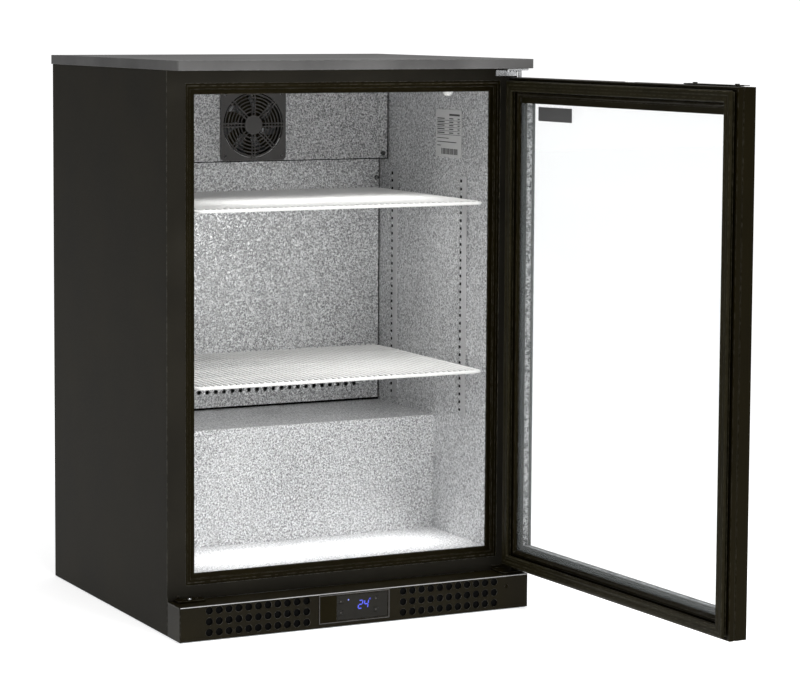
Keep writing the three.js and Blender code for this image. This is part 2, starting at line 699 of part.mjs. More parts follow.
function topHinge() {
  const top = WORKTOP_UNDER - GAP;
  return hingePlate([top - 3, top], [DOOR_TOP + 2, top], [DOOR_TOP - PIN_DEPTH, top - 1]);
}

function bottomHinge() {
  const low = PLINTH_HEIGHT + GAP;
  const bush = rod("z", [PIVOT.x, PIVOT.y], 5.5, [low + 1, DOOR_BOTTOM - GAP], 16);
  const bracket = hingePlate([low, low + 3], [low, DOOR_BOTTOM - 2], [low + 1, DOOR_BOTTOM + PIN_DEPTH]);
  return join(bracket, bush);
}

function spareHingePad() {
  const low = PLINTH_HEIGHT + GAP;
  return prism("z", softRectangle([-288, -243], [FRONT + 26, BODY_FRONT - GAP], 3), [low, low + 3.2]);
}

const doorX = about(DOOR_HALF);
const doorZ = [DOOR_BOTTOM, DOOR_TOP];
const inset = ([low, high], by) => [low + by, high - by];
const paneOuter = DOOR_OUTER + 5.5;
const spacerFrom = paneOuter + GAP + PANE_THICK + GAP;
const spacerTo = spacerFrom + 11.4;
const grooveBack = spacerTo + GAP + PANE_THICK + GAP;

function doorFrame() {
  const outer = ring(
    doorX, doorZ,
    inset(doorX, DOOR_RAIL), inset(doorZ, DOOR_RAIL),
    [DOOR_OUTER, DOOR_INNER],
  );
  const groove = block(inset(doorX, PANE_EDGE), [paneOuter, grooveBack], inset(doorZ, PANE_EDGE));
  const pinSpans = [
    [DOOR_TOP - PIN_DEPTH - 0.5, DOOR_TOP + 1],
    [DOOR_BOTTOM - 1, DOOR_BOTTOM + PIN_DEPTH + 0.5],
  ];
  const pinHoles = pinSpans.map((span) =>
    rod("z", [PIVOT.x, PIVOT.y], HINGE_PIN + GAP, span, 16),
  );
  const barrel = rod("y", [LOCK.z, LOCK.x], LOCK.barrel + GAP, [DOOR_OUTER - 1, DOOR_OUTER + 14], 16);
  const camRoom = block(
    [LOCK.x - 9, LOCK.x + LOCK.cam + 2],
    [DOOR_OUTER + 13, DOOR_OUTER + 19],
    [LOCK.z - 7, DOOR_TOP + 1],
  );
  return cut(outer, groove, ...pinHoles, barrel, camRoom);
}

function doorPane(from) {
  const edge = PANE_EDGE + GAP;
  return block(inset(doorX, edge), [from, from + PANE_THICK], inset(doorZ, edge));
}

function glassSpacer() {
  const { edge, wide } = SPACER;
  const inner = edge + wide;
  return ring(
    inset(doorX, edge), inset(doorZ, edge),
    inset(doorX, inner), inset(doorZ, inner),
    [spacerFrom, spacerTo],
  );
}

function doorGasket() {
  const { edge, wide } = GASKET;
  const back = BODY_FRONT - 0.6;
  const frameRing = (outer, inner, spanY) =>
    ring(inset(doorX, outer), inset(doorZ, outer), inset(doorX, inner), inset(doorZ, inner), spanY);
  const pad = frameRing(edge, edge + wide, [DOOR_INNER + GAP, back]);
  // The bellows between the frame and the magnet strip is narrower than the strip.
  const waist = frameRing(edge - 1, edge + 3, [DOOR_INNER + 3, DOOR_INNER + 6]);
  return cut(pad, waist);
}

function lockPlate() {
  const low = DOOR_TOP + GAP;
  const spanY = [DOOR_OUTER + 1, DOOR_OUTER + 12];
  const plate = block([-267, -140], spanY, [low, low + 1.6]);
  const arm = block([-283, -265], [DOOR_OUTER + 4, DOOR_OUTER + 9], [low + 1, low + 2]);
  const heads = [-160, -258].map((x) => rod("z", [x, DOOR_OUTER + 6.5], 3.4, [low + 1, low + 3.4], 10));
  return join(plate, arm, ...heads);
}

function lockCylinder() {
  const barrel = rod("y", [LOCK.z, LOCK.x], LOCK.barrel, [DOOR_OUTER - 1.5, DOOR_OUTER + 13.5], 16);
  const keyway = block([LOCK.x - 1, LOCK.x + 1], [DOOR_OUTER - 2, DOOR_OUTER + 4], [LOCK.z - 4, LOCK.z + 4]);
  const cam = block(
    [LOCK.x - LOCK.camHalf, LOCK.x + LOCK.cam],
    [DOOR_OUTER + 13.4, DOOR_OUTER + 16.5],
    around(LOCK.z, LOCK.camHalf),
  );
  return join(cut(barrel, keyway), cam);
}

// ---------------------------------------------------------------- assembly

piece("worktop", worktop(), BLACK_STEEL);
piece("left_side_panel", sidePanel(-1), BLACK_STEEL);
piece("right_side_panel", sidePanel(1), BLACK_STEEL);
piece("rear_panel", rearPanel(), GALVANISED);
piece("rear_grille", rearGrille(), BLACK_STEEL);
piece("base_tray", baseTray(), GALVANISED);
piece("underside_panel", undersidePanel(), GALVANISED);
piece("insulation_foam", insulationFoam(), FOAM);
piece("inner_liner", innerLiner(), STUCCO);
piece("front_frame", frontFrame(), GREY_STEEL);
piece("breaker_frame", breakerFrame(), BLACK_PLASTIC);
piece("plinth_grille", plinthGrille(), BLACK_STEEL);
piece("control_bezel", controlBezel(), BLACK_PLASTIC);
piece("display_window", displayWindow(), DISPLAY);
for (const [name, place] of Object.entries(BUTTONS)) {
  piece(name, controlButton(place), DISPLAY);
}

piece("evaporator_cover", evaporatorCover(), STUCCO);
piece("fan_guard", fanGuard(), GREY_PLASTIC);
const { back: fanBack, half: fanHalf, bore: fanBore, motor: fanMotor } = EVAPORATOR_FRAME;
const fanSpan = [COVER_FRONT + LINER_SHEET + GAP, fanBack];
piece("evaporator_fan_frame", fanFrame([0, FAN_Z], fanHalf, fanBore, fanSpan, fanMotor), BLACK_PLASTIC);
const evaporatorRotor = fanRotor([0, EVAPORATOR_FAN.y, FAN_Z], EVAPORATOR_FAN);
piece("evaporator_fan", evaporatorRotor, BLACK_PLASTIC);
piece("evaporator_coil", finnedCoil(EVAPORATOR), ALUMINIUM);
piece("drip_pan", dripPan(), STUCCO);
piece("air_duct_panel", airDuctPanel(), STUCCO);
piece("interior_lamp", interiorLamp(), WHITE_PLASTIC);

const SIDES = { left: -1, right: 1 };
const STRIPS = { front: STRIP_FRONT, rear: STRIP_REAR };
const SHELVES = { upper: UPPER_SLOT, lower: LOWER_SLOT };
for (const [sideName, side] of Object.entries(SIDES)) {
  for (const [stripName, y] of Object.entries(STRIPS)) {
    piece(`${stripName}_${sideName}_pilaster`, pilaster(side, y), STUCCO);
    for (const [shelfName, slot] of Object.entries(SHELVES)) {
      piece(`${shelfName}_${stripName}_${sideName}_clip`, shelfClip(side, y, slot), ZINC);
    }
  }
  piece(`${sideName}_levelling_foot`, levellingFoot(side), RUBBER);
}
for (const [shelfName, slot] of Object.entries(SHELVES)) {
  piece(`${shelfName}_shelf`, wireShelf(slot), WHITE_PLASTIC);
}

piece("compressor", compressor(), BLACK_STEEL);
piece("condenser_coil", finnedCoil(CONDENSER), ALUMINIUM);
const { x: rotorX, y: rotorY, z: rotorZ } = CONDENSER_FAN;
const { half: boxHalf, bore: boxBore, motor: boxMotor } = CONDENSER_FRAME;
const boxSpan = [CONDENSER_FRAME.front, CONDENSER_FRAME.back];
piece("condenser_fan_frame", fanFrame([rotorX, rotorZ], boxHalf, boxBore, boxSpan, boxMotor), BLACK_PLASTIC);
piece("condenser_fan", fanRotor([rotorX, rotorY, rotorZ], CONDENSER_FAN), ALUMINIUM);
piece("evaporation_tray", evaporationTray(), GREY_PLASTIC);
piece("refrigerant_pipe", refrigerantPipe(), COPPER);
piece("drain_tube", drainTube(), GREY_PLASTIC);
piece("power_inlet", powerInlet(), BLACK_PLASTIC);

piece("top_hinge_bracket", topHinge(), ZINC);
piece("bottom_hinge_bracket", bottomHinge(), BLACK_STEEL);
piece("spare_hinge_pad", spareHingePad(), BLACK_PLASTIC);

// The door's pieces are drawn closed, inside a group that turns about the hinge line.
const closedDoor = new THREE.Group();
closedDoor.position.set(-PIVOT.x, -PIVOT.y, 0);
piece("door_frame", doorFrame(), BLACK_PLASTIC, closedDoor);
piece("outer_glass", doorPane(paneOuter + GAP), GLASS, closedDoor);
piece("inner_glass", doorPane(spacerTo + GAP), GLASS, closedDoor);
piece("glass_spacer", glassSpacer(), ALUMINIUM, closedDoor);
piece("door_gasket", doorGasket(), RUBBER, closedDoor);
piece("lock_plate", lockPlate(), BLACK_STEEL, closedDoor);
piece("lock_cylinder", lockCylinder(), ZINC, closedDoor);

const door = new THREE.Group();
door.position.set(PIVOT.x, PIVOT.y, 0);
door.rotation.z = THREE.MathUtils.degToRad(DOOR_OPEN_ANGLE);
door.add(closedDoor);
refrigerator.add(door);

export default refrigerator;
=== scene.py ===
import json
import math

import bmesh
import bpy
from mathutils import Matrix, Vector


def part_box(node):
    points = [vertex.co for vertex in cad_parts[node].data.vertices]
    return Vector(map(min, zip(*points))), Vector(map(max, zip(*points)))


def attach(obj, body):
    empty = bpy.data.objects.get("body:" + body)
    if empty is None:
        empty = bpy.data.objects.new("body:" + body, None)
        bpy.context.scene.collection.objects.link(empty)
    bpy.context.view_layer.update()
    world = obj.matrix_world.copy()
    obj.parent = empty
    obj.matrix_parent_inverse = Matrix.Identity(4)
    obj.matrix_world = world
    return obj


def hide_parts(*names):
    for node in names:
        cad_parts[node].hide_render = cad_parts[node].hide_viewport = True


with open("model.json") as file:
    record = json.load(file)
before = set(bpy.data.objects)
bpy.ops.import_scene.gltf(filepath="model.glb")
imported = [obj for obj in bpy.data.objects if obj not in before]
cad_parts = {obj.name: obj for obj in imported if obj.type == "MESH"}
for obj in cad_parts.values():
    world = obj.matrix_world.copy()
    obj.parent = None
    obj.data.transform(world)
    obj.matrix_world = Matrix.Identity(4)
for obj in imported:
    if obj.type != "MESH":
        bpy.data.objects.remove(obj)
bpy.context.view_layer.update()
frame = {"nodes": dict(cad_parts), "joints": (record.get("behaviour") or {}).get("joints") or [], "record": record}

NODES = frame["nodes"]
JOINTS = {joint["name"]: joint for joint in frame["joints"]}
BODY_OF = {node: body for body, nodes in frame["record"]["behaviour"]["bodies"].items() for node in nodes}
SLOT_OF = {part["node"]: part["material_slot"] for part in frame["record"]["subparts"]}
MM = 0.001

# ------------------------ camera and light
CAMERA_PLACE = (-1.8225, -3.8961, 0.9365)
CAMERA_YAW = 0.4503
CAMERA_TILT = 0.0888
CAMERA_ROLL = 0.0036
SENSOR_WIDTH = 36.0
CAMERA_LENS = 121.07
CAMERA_SHIFT = (0.10, -0.12)
CAMERA_REACH = 50
AMBIENT = 0.5  # the world's strength on the object
BACKDROP = 1.1  # and as the camera sees it
WHITE = (1, 1, 1, 1)


def make_camera():
    data = bpy.data.cameras.new("camera")
    data.sensor_width = SENSOR_WIDTH
    data.lens = CAMERA_LENS
    data.shift_x, data.shift_y = CAMERA_SHIFT
    data.clip_end = CAMERA_REACH
    camera = bpy.data.objects.new("camera", data)
    bpy.context.scene.collection.objects.link(camera)
    turn = Matrix.Rotation(-CAMERA_YAW, 4, "Z") @ Matrix.Rotation(math.pi / 2 - CAMERA_TILT, 4, "X")
    camera.matrix_world = (
        Matrix.Translation(CAMERA_PLACE) @ turn @ Matrix.Rotation(CAMERA_ROLL, 4, "Z")
    )
    bpy.context.scene.camera = camera


def area_light(name, place, target, size, watts, spread_degrees=180):
    data = bpy.data.lights.new(name, "AREA")
    data.shape = "RECTANGLE"
    data.size, data.size_y = size
    data.energy = watts
    data.spread = math.radians(spread_degrees)
    light = bpy.data.objects.new(name, data)
    light.location = place
    light.rotation_euler = (Vector(target) - Vector(place)).to_track_quat("-Z", "Y").to_euler()
    bpy.context.scene.collection.objects.link(light)


def make_studio():
    world = bpy.data.worlds.new("studio")
    world.use_nodes = True
    tree = world.node_tree
    background = tree.nodes["Background"]
    backdrop = tree.nodes.new("ShaderNodeBackground")
    for node, strength in ((background, AMBIENT), (backdrop, BACKDROP)):
        node.inputs["Color"].default_value = WHITE
        node.inputs["Strength"].default_value = strength
    choose = tree.nodes.new("ShaderNodeMixShader")
    tree.links.new(tree.nodes.new("ShaderNodeLightPath").outputs["Is Camera Ray"], choose.inputs["Fac"])
    tree.links.new(background.outputs["Background"], choose.inputs[1])
    tree.links.new(backdrop.outputs["Background"], choose.inputs[2])
    tree.links.new(choose.outputs["Shader"], tree.nodes["World Output"].inputs["Surface"])
    bpy.context.scene.world = world
    bpy.context.scene.view_settings.view_transform = "Standard"
    low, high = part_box("inner_liner")
    middle = (low.x + high.x) / 2
    room_y = low.y + 0.11
    floor_y = -0.125
    area_light("key", (1.0, -3.6, 2.5), (0, 0, 0.4), size=(1.4, 1.4), watts=38)
    area_light("overhead", (0.1, -0.9, 2.0), (0, -0.3, 0.5), size=(1.3, 0.6), watts=24)
    # The others are in the cabinet, at its mouth or just in front of its head.
    area_light("room", (middle, room_y, high.z - 0.03), (middle, room_y, low.z),
               size=(0.4, 0.06), watts=0.34, spread_degrees=80)
    area_light("back_fill", (middle, -0.16, 0.56), (middle, 0.12, 0.50), size=(0.4, 0.1), watts=0.24)
    area_light("spill", (middle, low.y - 0.08, 0.60), (middle, -0.13, low.z), size=(0.44, 0.05), watts=0.16)
    area_light("floor_fill", (middle, floor_y, low.z + 0.13), (middle, floor_y, low.z),
               size=(0.44, 0.09), watts=0.5, spread_degrees=80)
    area_light("head_fill", (-0.03, -0.335, 0.795), (-0.03, -0.262, 0.838),
               size=(0.54, 0.012), watts=0.07, spread_degrees=60)


# ------------------------ materials
def new_material(name):
    material = bpy.data.materials.new(name)
    material.use_nodes = True
    return material, material.node_tree


def noise(tree, scale, detail, stretch=None, distortion=0.0):
    texture = tree.nodes.new("ShaderNodeTexNoise")
    texture.inputs["Scale"].default_value = scale
    texture.inputs["Detail"].default_value = detail
    texture.inputs["Distortion"].default_value = distortion
    vector = tree.nodes.new("ShaderNodeTexCoord").outputs["Object"]
    if stretch:
        mapping = tree.nodes.new("ShaderNodeMapping")
        mapping.inputs["Scale"].default_value = stretch
        tree.links.new(vector, mapping.inputs["Vector"])
        vector = mapping.outputs["Vector"]
    tree.links.new(vector, texture.inputs["Vector"])
    return texture.outputs["Fac"]


def spread(tree, value, low, high, from_low=0.3, from_high=0.7):
    """Maps a texture's middle range onto low..high."""
    node = tree.nodes.new("ShaderNodeMapRange")
    node.inputs["From Min"].default_value = from_low
    node.inputs["From Max"].default_value = from_high
    node.inputs["To Min"].default_value = low
    node.inputs["To Max"].default_value = high
    tree.links.new(value, node.inputs["Value"])
    return node.outputs["Result"]


def two_colours(tree, value, first, second):
    """Mixes from first to second by the value; each is a colour or another node's output."""
    node = tree.nodes.new("ShaderNodeMix")
    node.data_type = "RGBA"
    tree.links.new(value, node.inputs["Factor"])
    sockets = [socket for socket in node.inputs if socket.type == "RGBA"]
    for socket, colour in zip(sockets, (first, second)):
        if isinstance(colour, bpy.types.NodeSocket):
            tree.links.new(colour, socket)
        else:
            socket.default_value = (*colour, 1)
    return next(socket for socket in node.outputs if socket.type == "RGBA")


def combine(tree, operation, first, second, clamp=False):
    node = tree.nodes.new("ShaderNodeMath")
    node.operation = operation
    node.use_clamp = clamp
    tree.links.new(first, node.inputs[0])
    tree.links.new(second, node.inputs[1])
    return node.outputs["Value"]


def relief(tree, height, strength, depth, invert=False):
    node = tree.nodes.new("ShaderNodeBump")
    node.inputs["Strength"].default_value = strength
    node.inputs["Distance"].default_value = depth
    node.invert = invert
    tree.links.new(height, node.inputs["Height"])
    return node


WEAR_AND_HIGHLIGHT_RADIUS = 1.2 * MM
FLAT_FACE = 0.995  # cosine between the rounded and the true normal on a flat face
FULL_EDGE = 0.90  # and at an edge that gets the full colour of rubbing and painted highlight


def edge_wear_and_highlight(tree):
    """1 where the surface turns sharply, broken up by noise, 0 on flat faces: where edges get the colour of
    rubbing and of a painted highlight.
    """
    bevel = tree.nodes.new("ShaderNodeBevel")
    bevel.samples = 4
    bevel.inputs["Radius"].default_value = WEAR_AND_HIGHLIGHT_RADIUS
    geometry = tree.nodes.new("ShaderNodeNewGeometry")
    dot = tree.nodes.new("ShaderNodeVectorMath")
    dot.operation = "DOT_PRODUCT"
    tree.links.new(bevel.outputs["Normal"], dot.inputs[0])
    tree.links.new(geometry.outputs["True Normal"], dot.inputs[1])
    edge = spread(tree, dot.outputs["Value"], 1.0, 0.0, FULL_EDGE, FLAT_FACE)
    rough = spread(tree, noise(tree, 160, 4), 0.0, 1.0, 0.42, 0.62)
    return combine(tree, "MULTIPLY", edge, rough), bevel.outputs["Normal"]


def surface(name, colour, roughness, metallic=0.0, grain=900, bump=0.15, depth=0.0002,
            variation=0.25, wear_and_highlight=None, stretch=None, gloss=0.5, gloss_tint=None):
    """A textured solid surface: mottled colour, uneven roughness, fine bump, and edges lightened partly by rubbing
    and partly as a painted highlight.
    """
    material, tree = new_material(name)
    shader = tree.nodes["Principled BSDF"]
    shader.inputs["Metallic"].default_value = metallic
    shader.inputs["Specular IOR Level"].default_value = gloss
    if gloss_tint:
        shader.inputs["Specular Tint"].default_value = (*gloss_tint, 1)
    broad = spread(tree, noise(tree, 9, 4), 0.0, 1.0)
    darker = tuple(c * (1 - variation) for c in colour)
    lighter = tuple(min(1, c * (1 + variation)) for c in colour)
    tint = two_colours(tree, broad, darker, lighter)
    low, high = roughness
    fine = noise(tree, grain, 3, stretch)
    tree.links.new(spread(tree, fine, low, high), shader.inputs["Roughness"])
    bumps = relief(tree, fine, bump, depth)
    # Edges get a lighter colour: partly rubbing, partly a painted highlight where edges catch the light.
    if wear_and_highlight:
        wear_and_highlight_mask, bevelled = edge_wear_and_highlight(tree)
        tint = two_colours(tree, wear_and_highlight_mask, tint, wear_and_highlight)
        tree.links.new(bevelled, bumps.inputs["Normal"])
    tree.links.new(tint, shader.inputs["Base Color"])
    tree.links.new(bumps.outputs["Normal"], shader.inputs["Normal"])
    return material


def stucco(name, scale, bright, dark, metallic):
    """Sheet embossed with small irregular cells; its colour paints shade in the hollows and a highlight on the
    raised parts.
    """
    material, tree = new_material(name)
    shader = tree.nodes["Principled BSDF"]
    shader.inputs["Metallic"].default_value = metallic
    cells = noise(tree, scale, 1.2, distortion=0.9)
    ridges = spread(tree, cells, 0, 1, 0.36, 0.64)
    cloudy = spread(tree, noise(tree, 7, 4), 0.0, 0.14)
    shade = combine(tree, "SUBTRACT", ridges, cloudy, clamp=True)
    # Painted shade and highlight: darker where the bump sinks the sheet, lighter where it stands up.
    tree.links.new(two_colours(tree, shade, bright, dark), shader.inputs["Base Color"])
    tree.links.new(spread(tree, noise(tree, 60, 3), 0.28, 0.4), shader.inputs["Roughness"])
    bumps = relief(tree, ridges, 0.9, 1.1 * MM, invert=True)
    tree.links.new(bumps.outputs["Normal"], shader.inputs["Normal"])
    return material


def glass(name):
    """A clear pane: mostly see-through, so that its gloss is what shows."""
    material, tree = new_material(name)
    shader = tree.nodes["Principled BSDF"]
    shader.inputs["Alpha"].default_value = 0.07
    shader.inputs["IOR"].default_value = 1.5
    tint = two_colours(
        tree, spread(tree, noise(tree, 5, 3), 0, 1),
        (0.86, 0.95, 0.97), (0.93, 0.985, 1.0),
    )
    tree.links.new(tint, shader.inputs["Base Color"])
    tree.links.new(spread(tree, noise(tree, 30, 4), 0.02, 0.06), shader.inputs["Roughness"])
    return material


def glow(name, colour, strength):
    """A lit surface, slightly uneven."""
    material, tree = new_material(name)
    shader = tree.nodes["Principled BSDF"]
    shader.inputs["Roughness"].default_value = 0.4
    shader.inputs["Emission Strength"].default_value = strength
    value = spread(tree, noise(tree, 400, 2), 0, 1)
    tint = two_colours(tree, value, tuple(c * 0.8 for c in colour), colour)
    tree.links.new(tint, shader.inputs["Base Color"])
    tree.links.new(tint, shader.inputs["Emission Color"])
    return material


# The lighter edge colours below are partly rubbing and partly a painted highlight.
LOOKS = {
    "black_steel": surface(
        "black_powder_coat", (0.0055, 0.0042, 0.0012), (0.4, 0.55), grain=1300, bump=0.22,
        wear_and_highlight=(0.12, 0.115, 0.1), gloss=0.04, gloss_tint=(1, 0.88, 0.6)),
    "plinth_steel": surface(
        "plinth_coat", (0.0058, 0.0045, 0.0012), (0.36, 0.5), grain=1300, bump=0.2,
        wear_and_highlight=(0.1, 0.097, 0.088), gloss=0.1, gloss_tint=(1, 0.93, 0.8)),
    "grey_steel": surface(
        "grey_powder_coat", (0.012, 0.0108, 0.0078), (0.34, 0.48), grain=1500, bump=0.3,
        wear_and_highlight=(0.12, 0.115, 0.1), gloss=0.09, gloss_tint=(1, 0.95, 0.85)),
    "worktop": surface(
        "worktop_coat", (0.076, 0.075, 0.074), (0.34, 0.46), grain=1500, bump=0.25,
        wear_and_highlight=(0.2, 0.2, 0.195), gloss=0.04),
    "galvanised": surface(
        "galvanised_sheet", (0.45, 0.47, 0.48), (0.3, 0.5), metallic=0.95, grain=45, bump=0.05,
        variation=0.18, wear_and_highlight=(0.7, 0.7, 0.7)),
    "foam": surface(
        "polyurethane_foam", (0.7, 0.62, 0.38), (0.8, 0.95), grain=700, bump=0.8, depth=0.0006),
    "stucco_aluminium": stucco("stucco_aluminium", 390, (0.92, 0.925, 0.93), (0.24, 0.24, 0.245), 0.72),
    # A darker copy of the liner's stucco for the evaporator cover: painted shade.
    "shaded_stucco_cover": stucco("shaded_stucco_cover", 390, (0.7, 0.7, 0.705), (0.15, 0.15, 0.152), 0.72),
    "spacer_bar": stucco("spacer_bar", 210, (0.42, 0.42, 0.42), (0.006, 0.006, 0.006), 0.4),
    "plain_aluminium": surface(
        "plain_aluminium_sheet", (0.6, 0.6, 0.605), (0.26, 0.4), metallic=1.0, grain=300, bump=0.05,
        variation=0.06, wear_and_highlight=(0.8, 0.8, 0.8), stretch=(1, 1, 0.08)),
    "black_plastic": surface(
        "black_moulding", (0.0042, 0.0031, 0.0006), (0.3, 0.42), grain=1600, bump=0.1,
        wear_and_highlight=(0.065, 0.061, 0.052), gloss=0.07, gloss_tint=(1, 0.85, 0.5)),
    "display": surface(
        "display_film", (0.0075, 0.0065, 0.004), (0.12, 0.2), grain=800, bump=0.02,
        wear_and_highlight=(0.04, 0.04, 0.04), gloss=0.15),
    "dark_grey_plastic": surface(
        "guard_plastic", (0.066, 0.063, 0.061), (0.4, 0.55), grain=1200, bump=0.15,
        wear_and_highlight=(0.14, 0.13, 0.12), gloss=0.2),
    "aluminium": surface(
        "mill_aluminium", (0.62, 0.63, 0.64), (0.25, 0.4), metallic=1.0, grain=260, bump=0.08,
        variation=0.1, wear_and_highlight=(0.8, 0.8, 0.8), stretch=(1, 0.1, 1)),
    "white_coating": surface(
        "white_plastic_coat", (0.8, 0.8, 0.785), (0.3, 0.42), grain=700, bump=0.12,
        variation=0.05, wear_and_highlight=(0.74, 0.73, 0.7), gloss=0.35),
    "zinc": surface(
        "zinc_plate", (0.66, 0.67, 0.68), (0.18, 0.34), metallic=1.0, grain=350, bump=0.1,
        variation=0.12, wear_and_highlight=(0.85, 0.85, 0.85)),
    "dark_zinc": surface(
        "dark_zinc", (0.05, 0.05, 0.05), (0.2, 0.34), metallic=1.0, grain=420, bump=0.3,
        variation=0.3, wear_and_highlight=(0.7, 0.7, 0.7)),
    # Grey of the strips' raised channels, also used for the painted highlight on the plinth's edge.
    "strip_face_and_highlight": surface(
        "strip_face_and_highlight", (0.46, 0.46, 0.465), (0.4, 0.55), metallic=0.35, grain=420, bump=0.1,
        variation=0.08, wear_and_highlight=(0.6, 0.6, 0.6)),
    "copper": surface(
        "copper_tube", (0.56, 0.27, 0.16), (0.25, 0.45), metallic=1.0, grain=220, bump=0.1,
        variation=0.3, wear_and_highlight=(0.75, 0.45, 0.3)),
    "rubber": surface(
        "gasket_rubber", (0.0075, 0.0062, 0.002), (0.42, 0.58), grain=1100, bump=0.2,
        wear_and_highlight=(0.06, 0.056, 0.04), gloss=0.1, gloss_tint=(1, 0.9, 0.65)),
    "glass": glass("clear_glass"),
    "sticker": surface(
        "sticker_film", (0.085, 0.085, 0.085), (0.7, 0.8), grain=1300, bump=0.06,
        variation=0.04, wear_and_highlight=(0.16, 0.16, 0.16), gloss=0.1),
    "paper": surface(
        "label_paper", (0.5, 0.5, 0.495), (0.45, 0.6), grain=1300, bump=0.06,
        variation=0.04, wear_and_highlight=(0.6, 0.6, 0.58)),
    "ink": surface(
        "label_ink", (0.025, 0.025, 0.025), (0.5, 0.6), grain=1300, bump=0.04, wear_and_highlight=(0.05, 0.05, 0.05)),
    # Near black for painted shade: in slots, seams, holes and round the fan's opening.
    "painted_shade": surface(
        "slot_shadow", (0.004, 0.004, 0.004), (0.8, 0.95), grain=900, bump=0.1, gloss=0.05),
    "blue_digits": glow("blue_digits", (0.045, 0.06, 0.5), 1.0),
    "white_lamp": glow("white_lamp", (0.2, 0.24, 0.7), 0.6),
}


def paint(piece, look):
    piece.data.materials.clear()
    piece.data.materials.append(LOOKS[look])


# ------------------------ mesh helpers
SMOOTH_BELOW = 32  # degrees
WELD_DISTANCE = 1e-6
CORNER_STEPS = 3


def smooth_by_angle(piece, degrees):
    """Smooth shading, kept sharp where faces meet at more than the angle."""
    mesh = piece.data
    work = bmesh.new()
    work.from_mesh(mesh)
    for face in work.faces:
        face.smooth = True
    for edge in work.edges:
        edge.smooth = len(edge.link_faces) == 2 and edge.calc_face_angle(0) < math.radians(degrees)
    work.to_mesh(mesh)
    work.free()


def add_piece(name, mesh, body, look, place=None, degrees=SMOOTH_BELOW):
    if place is not None:
        mesh.transform(place)
    work = bmesh.new()
    work.from_mesh(mesh)
    bmesh.ops.remove_doubles(work, verts=work.verts, dist=WELD_DISTANCE)
    bmesh.ops.recalc_face_normals(work, faces=work.faces)
    work.to_mesh(mesh)
    work.free()
    piece = bpy.data.objects.new(name, mesh)
    bpy.context.scene.collection.objects.link(piece)
    smooth_by_angle(piece, degrees)
    even = piece.modifiers.new("even_normals", "WEIGHTED_NORMAL")
    even.keep_sharp = True
    paint(piece, look)
    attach(piece, body)
    return piece


def stand_in(mesh, node, look=None, place=None, degrees=SMOOTH_BELOW):
    """A finer piece shown in place of a CAD node."""
    slot = SLOT_OF[node]
    piece = add_piece("fine_" + node, mesh, BODY_OF[node], look or slot, place, degrees)
    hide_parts(node)
    return piece


def curve_mesh(splines, bevel=0.0, extrude=0.0, flat=False, sides=2, closed=True):
    """A mesh from splines of points: a filled plate where flat, otherwise round wires."""
    curve = bpy.data.curves.new("temporary", "CURVE")
    curve.dimensions = "2D" if flat else "3D"
    curve.fill_mode = "BOTH" if flat else "FULL"
    curve.bevel_depth = bevel
    curve.bevel_resolution = sides
    curve.extrude = extrude
    curve.use_fill_caps = not flat
    for points in splines:
        spline = curve.splines.new("POLY")
        spline.points.add(len(points) - 1)
        for target, point in zip(spline.points, points):
            target.co = (*point, 1) if len(point) == 3 else (*point, 0, 1)
        spline.use_cyclic_u = closed
    holder = bpy.data.objects.new("temporary", curve)
    bpy.context.scene.collection.objects.link(holder)
    shown = holder.evaluated_get(bpy.context.evaluated_depsgraph_get())
    mesh = bpy.data.meshes.new_from_object(shown)
    bpy.data.objects.remove(holder)
    bpy.data.curves.remove(curve)
    return mesh


def circle(u, v, radius, count):
    return [
        (u + radius * math.cos(2 * math.pi * i / count), v + radius * math.sin(2 * math.pi * i / count))
        for i in range(count)
    ]


def rectangle(u0, u1, v0, v1, inset=0.0):
    u0, u1, v0, v1 = u0 + inset, u1 - inset, v0 + inset, v1 - inset
    return [(u0, v0), (u1, v0), (u1, v1), (u0, v1)]


def front_of(low, high, inset=0.0):
    """A box's outline in X, Z."""
    return rectangle(low.x, high.x, low.z, high.z, inset)


def rounded(u0, u1, v0, v1, radius, steps=5):
    corners = ((u1, v1, 0), (u0, v1, 1), (u0, v0, 2), (u1, v0, 3))
    points = []
    for u, v, quarter in corners:
        centre_u = u - radius if u == u1 else u + radius
        centre_v = v - radius if v == v1 else v + radius
        for i in range(steps + 1):
            angle = math.pi / 2 * (quarter + i / steps)
            points.append((centre_u + radius * math.cos(angle), centre_v + radius * math.sin(angle)))
    return points


# Local X, Y, Z of a flat plate laid onto the cabinet's planes.
FACING = {
    "y": Matrix(((1, 0, 0, 0), (0, 0, 1, 0), (0, 1, 0, 0), (0, 0, 0, 1))),
    "x": Matrix(((0, 0, 1, 0), (1, 0, 0, 0), (0, 1, 0, 0), (0, 0, 0, 1))),
    "z": Matrix.Identity(4),
}


def plate(outline, holes, facing, low, high, edge=0.2 * MM):
    """A plate with holes and softened edges, between two heights along its normal."""
    thick = high - low
    mesh = curve_mesh([outline, *holes], bevel=edge, extrude=thick / 2 - edge, flat=True, sides=1)
    mesh.transform(FACING[facing] @ Matrix.Translation((0, 0, (low + high) / 2)))
    return mesh


def joined(*meshes):
    work = bmesh.new()
    for mesh in meshes:
        work.from_mesh(mesh)
    whole = bpy.data.meshes.new("joined")
    work.to_mesh(whole)
    work.free()
    return whole


def swept_frame(profile, low, high):
    """A mitred rectangular frame: the profile's points are (distance in from the box's edge, Y)."""
    vertices, faces = [], []
    for inset, y in profile:
        vertices += [(x, y, z) for x, z in front_of(low, high, inset)]
    count = len(profile)
    for i in range(count):
        after = (i + 1) % count
        for corner in range(4):
            turned = (corner + 1) % 4
            faces.append((4 * i + corner, 4 * i + turned, 4 * after + turned, 4 * after + corner))
    mesh = bpy.data.meshes.new("frame")
    mesh.from_pydata(vertices, [], faces)
    return mesh


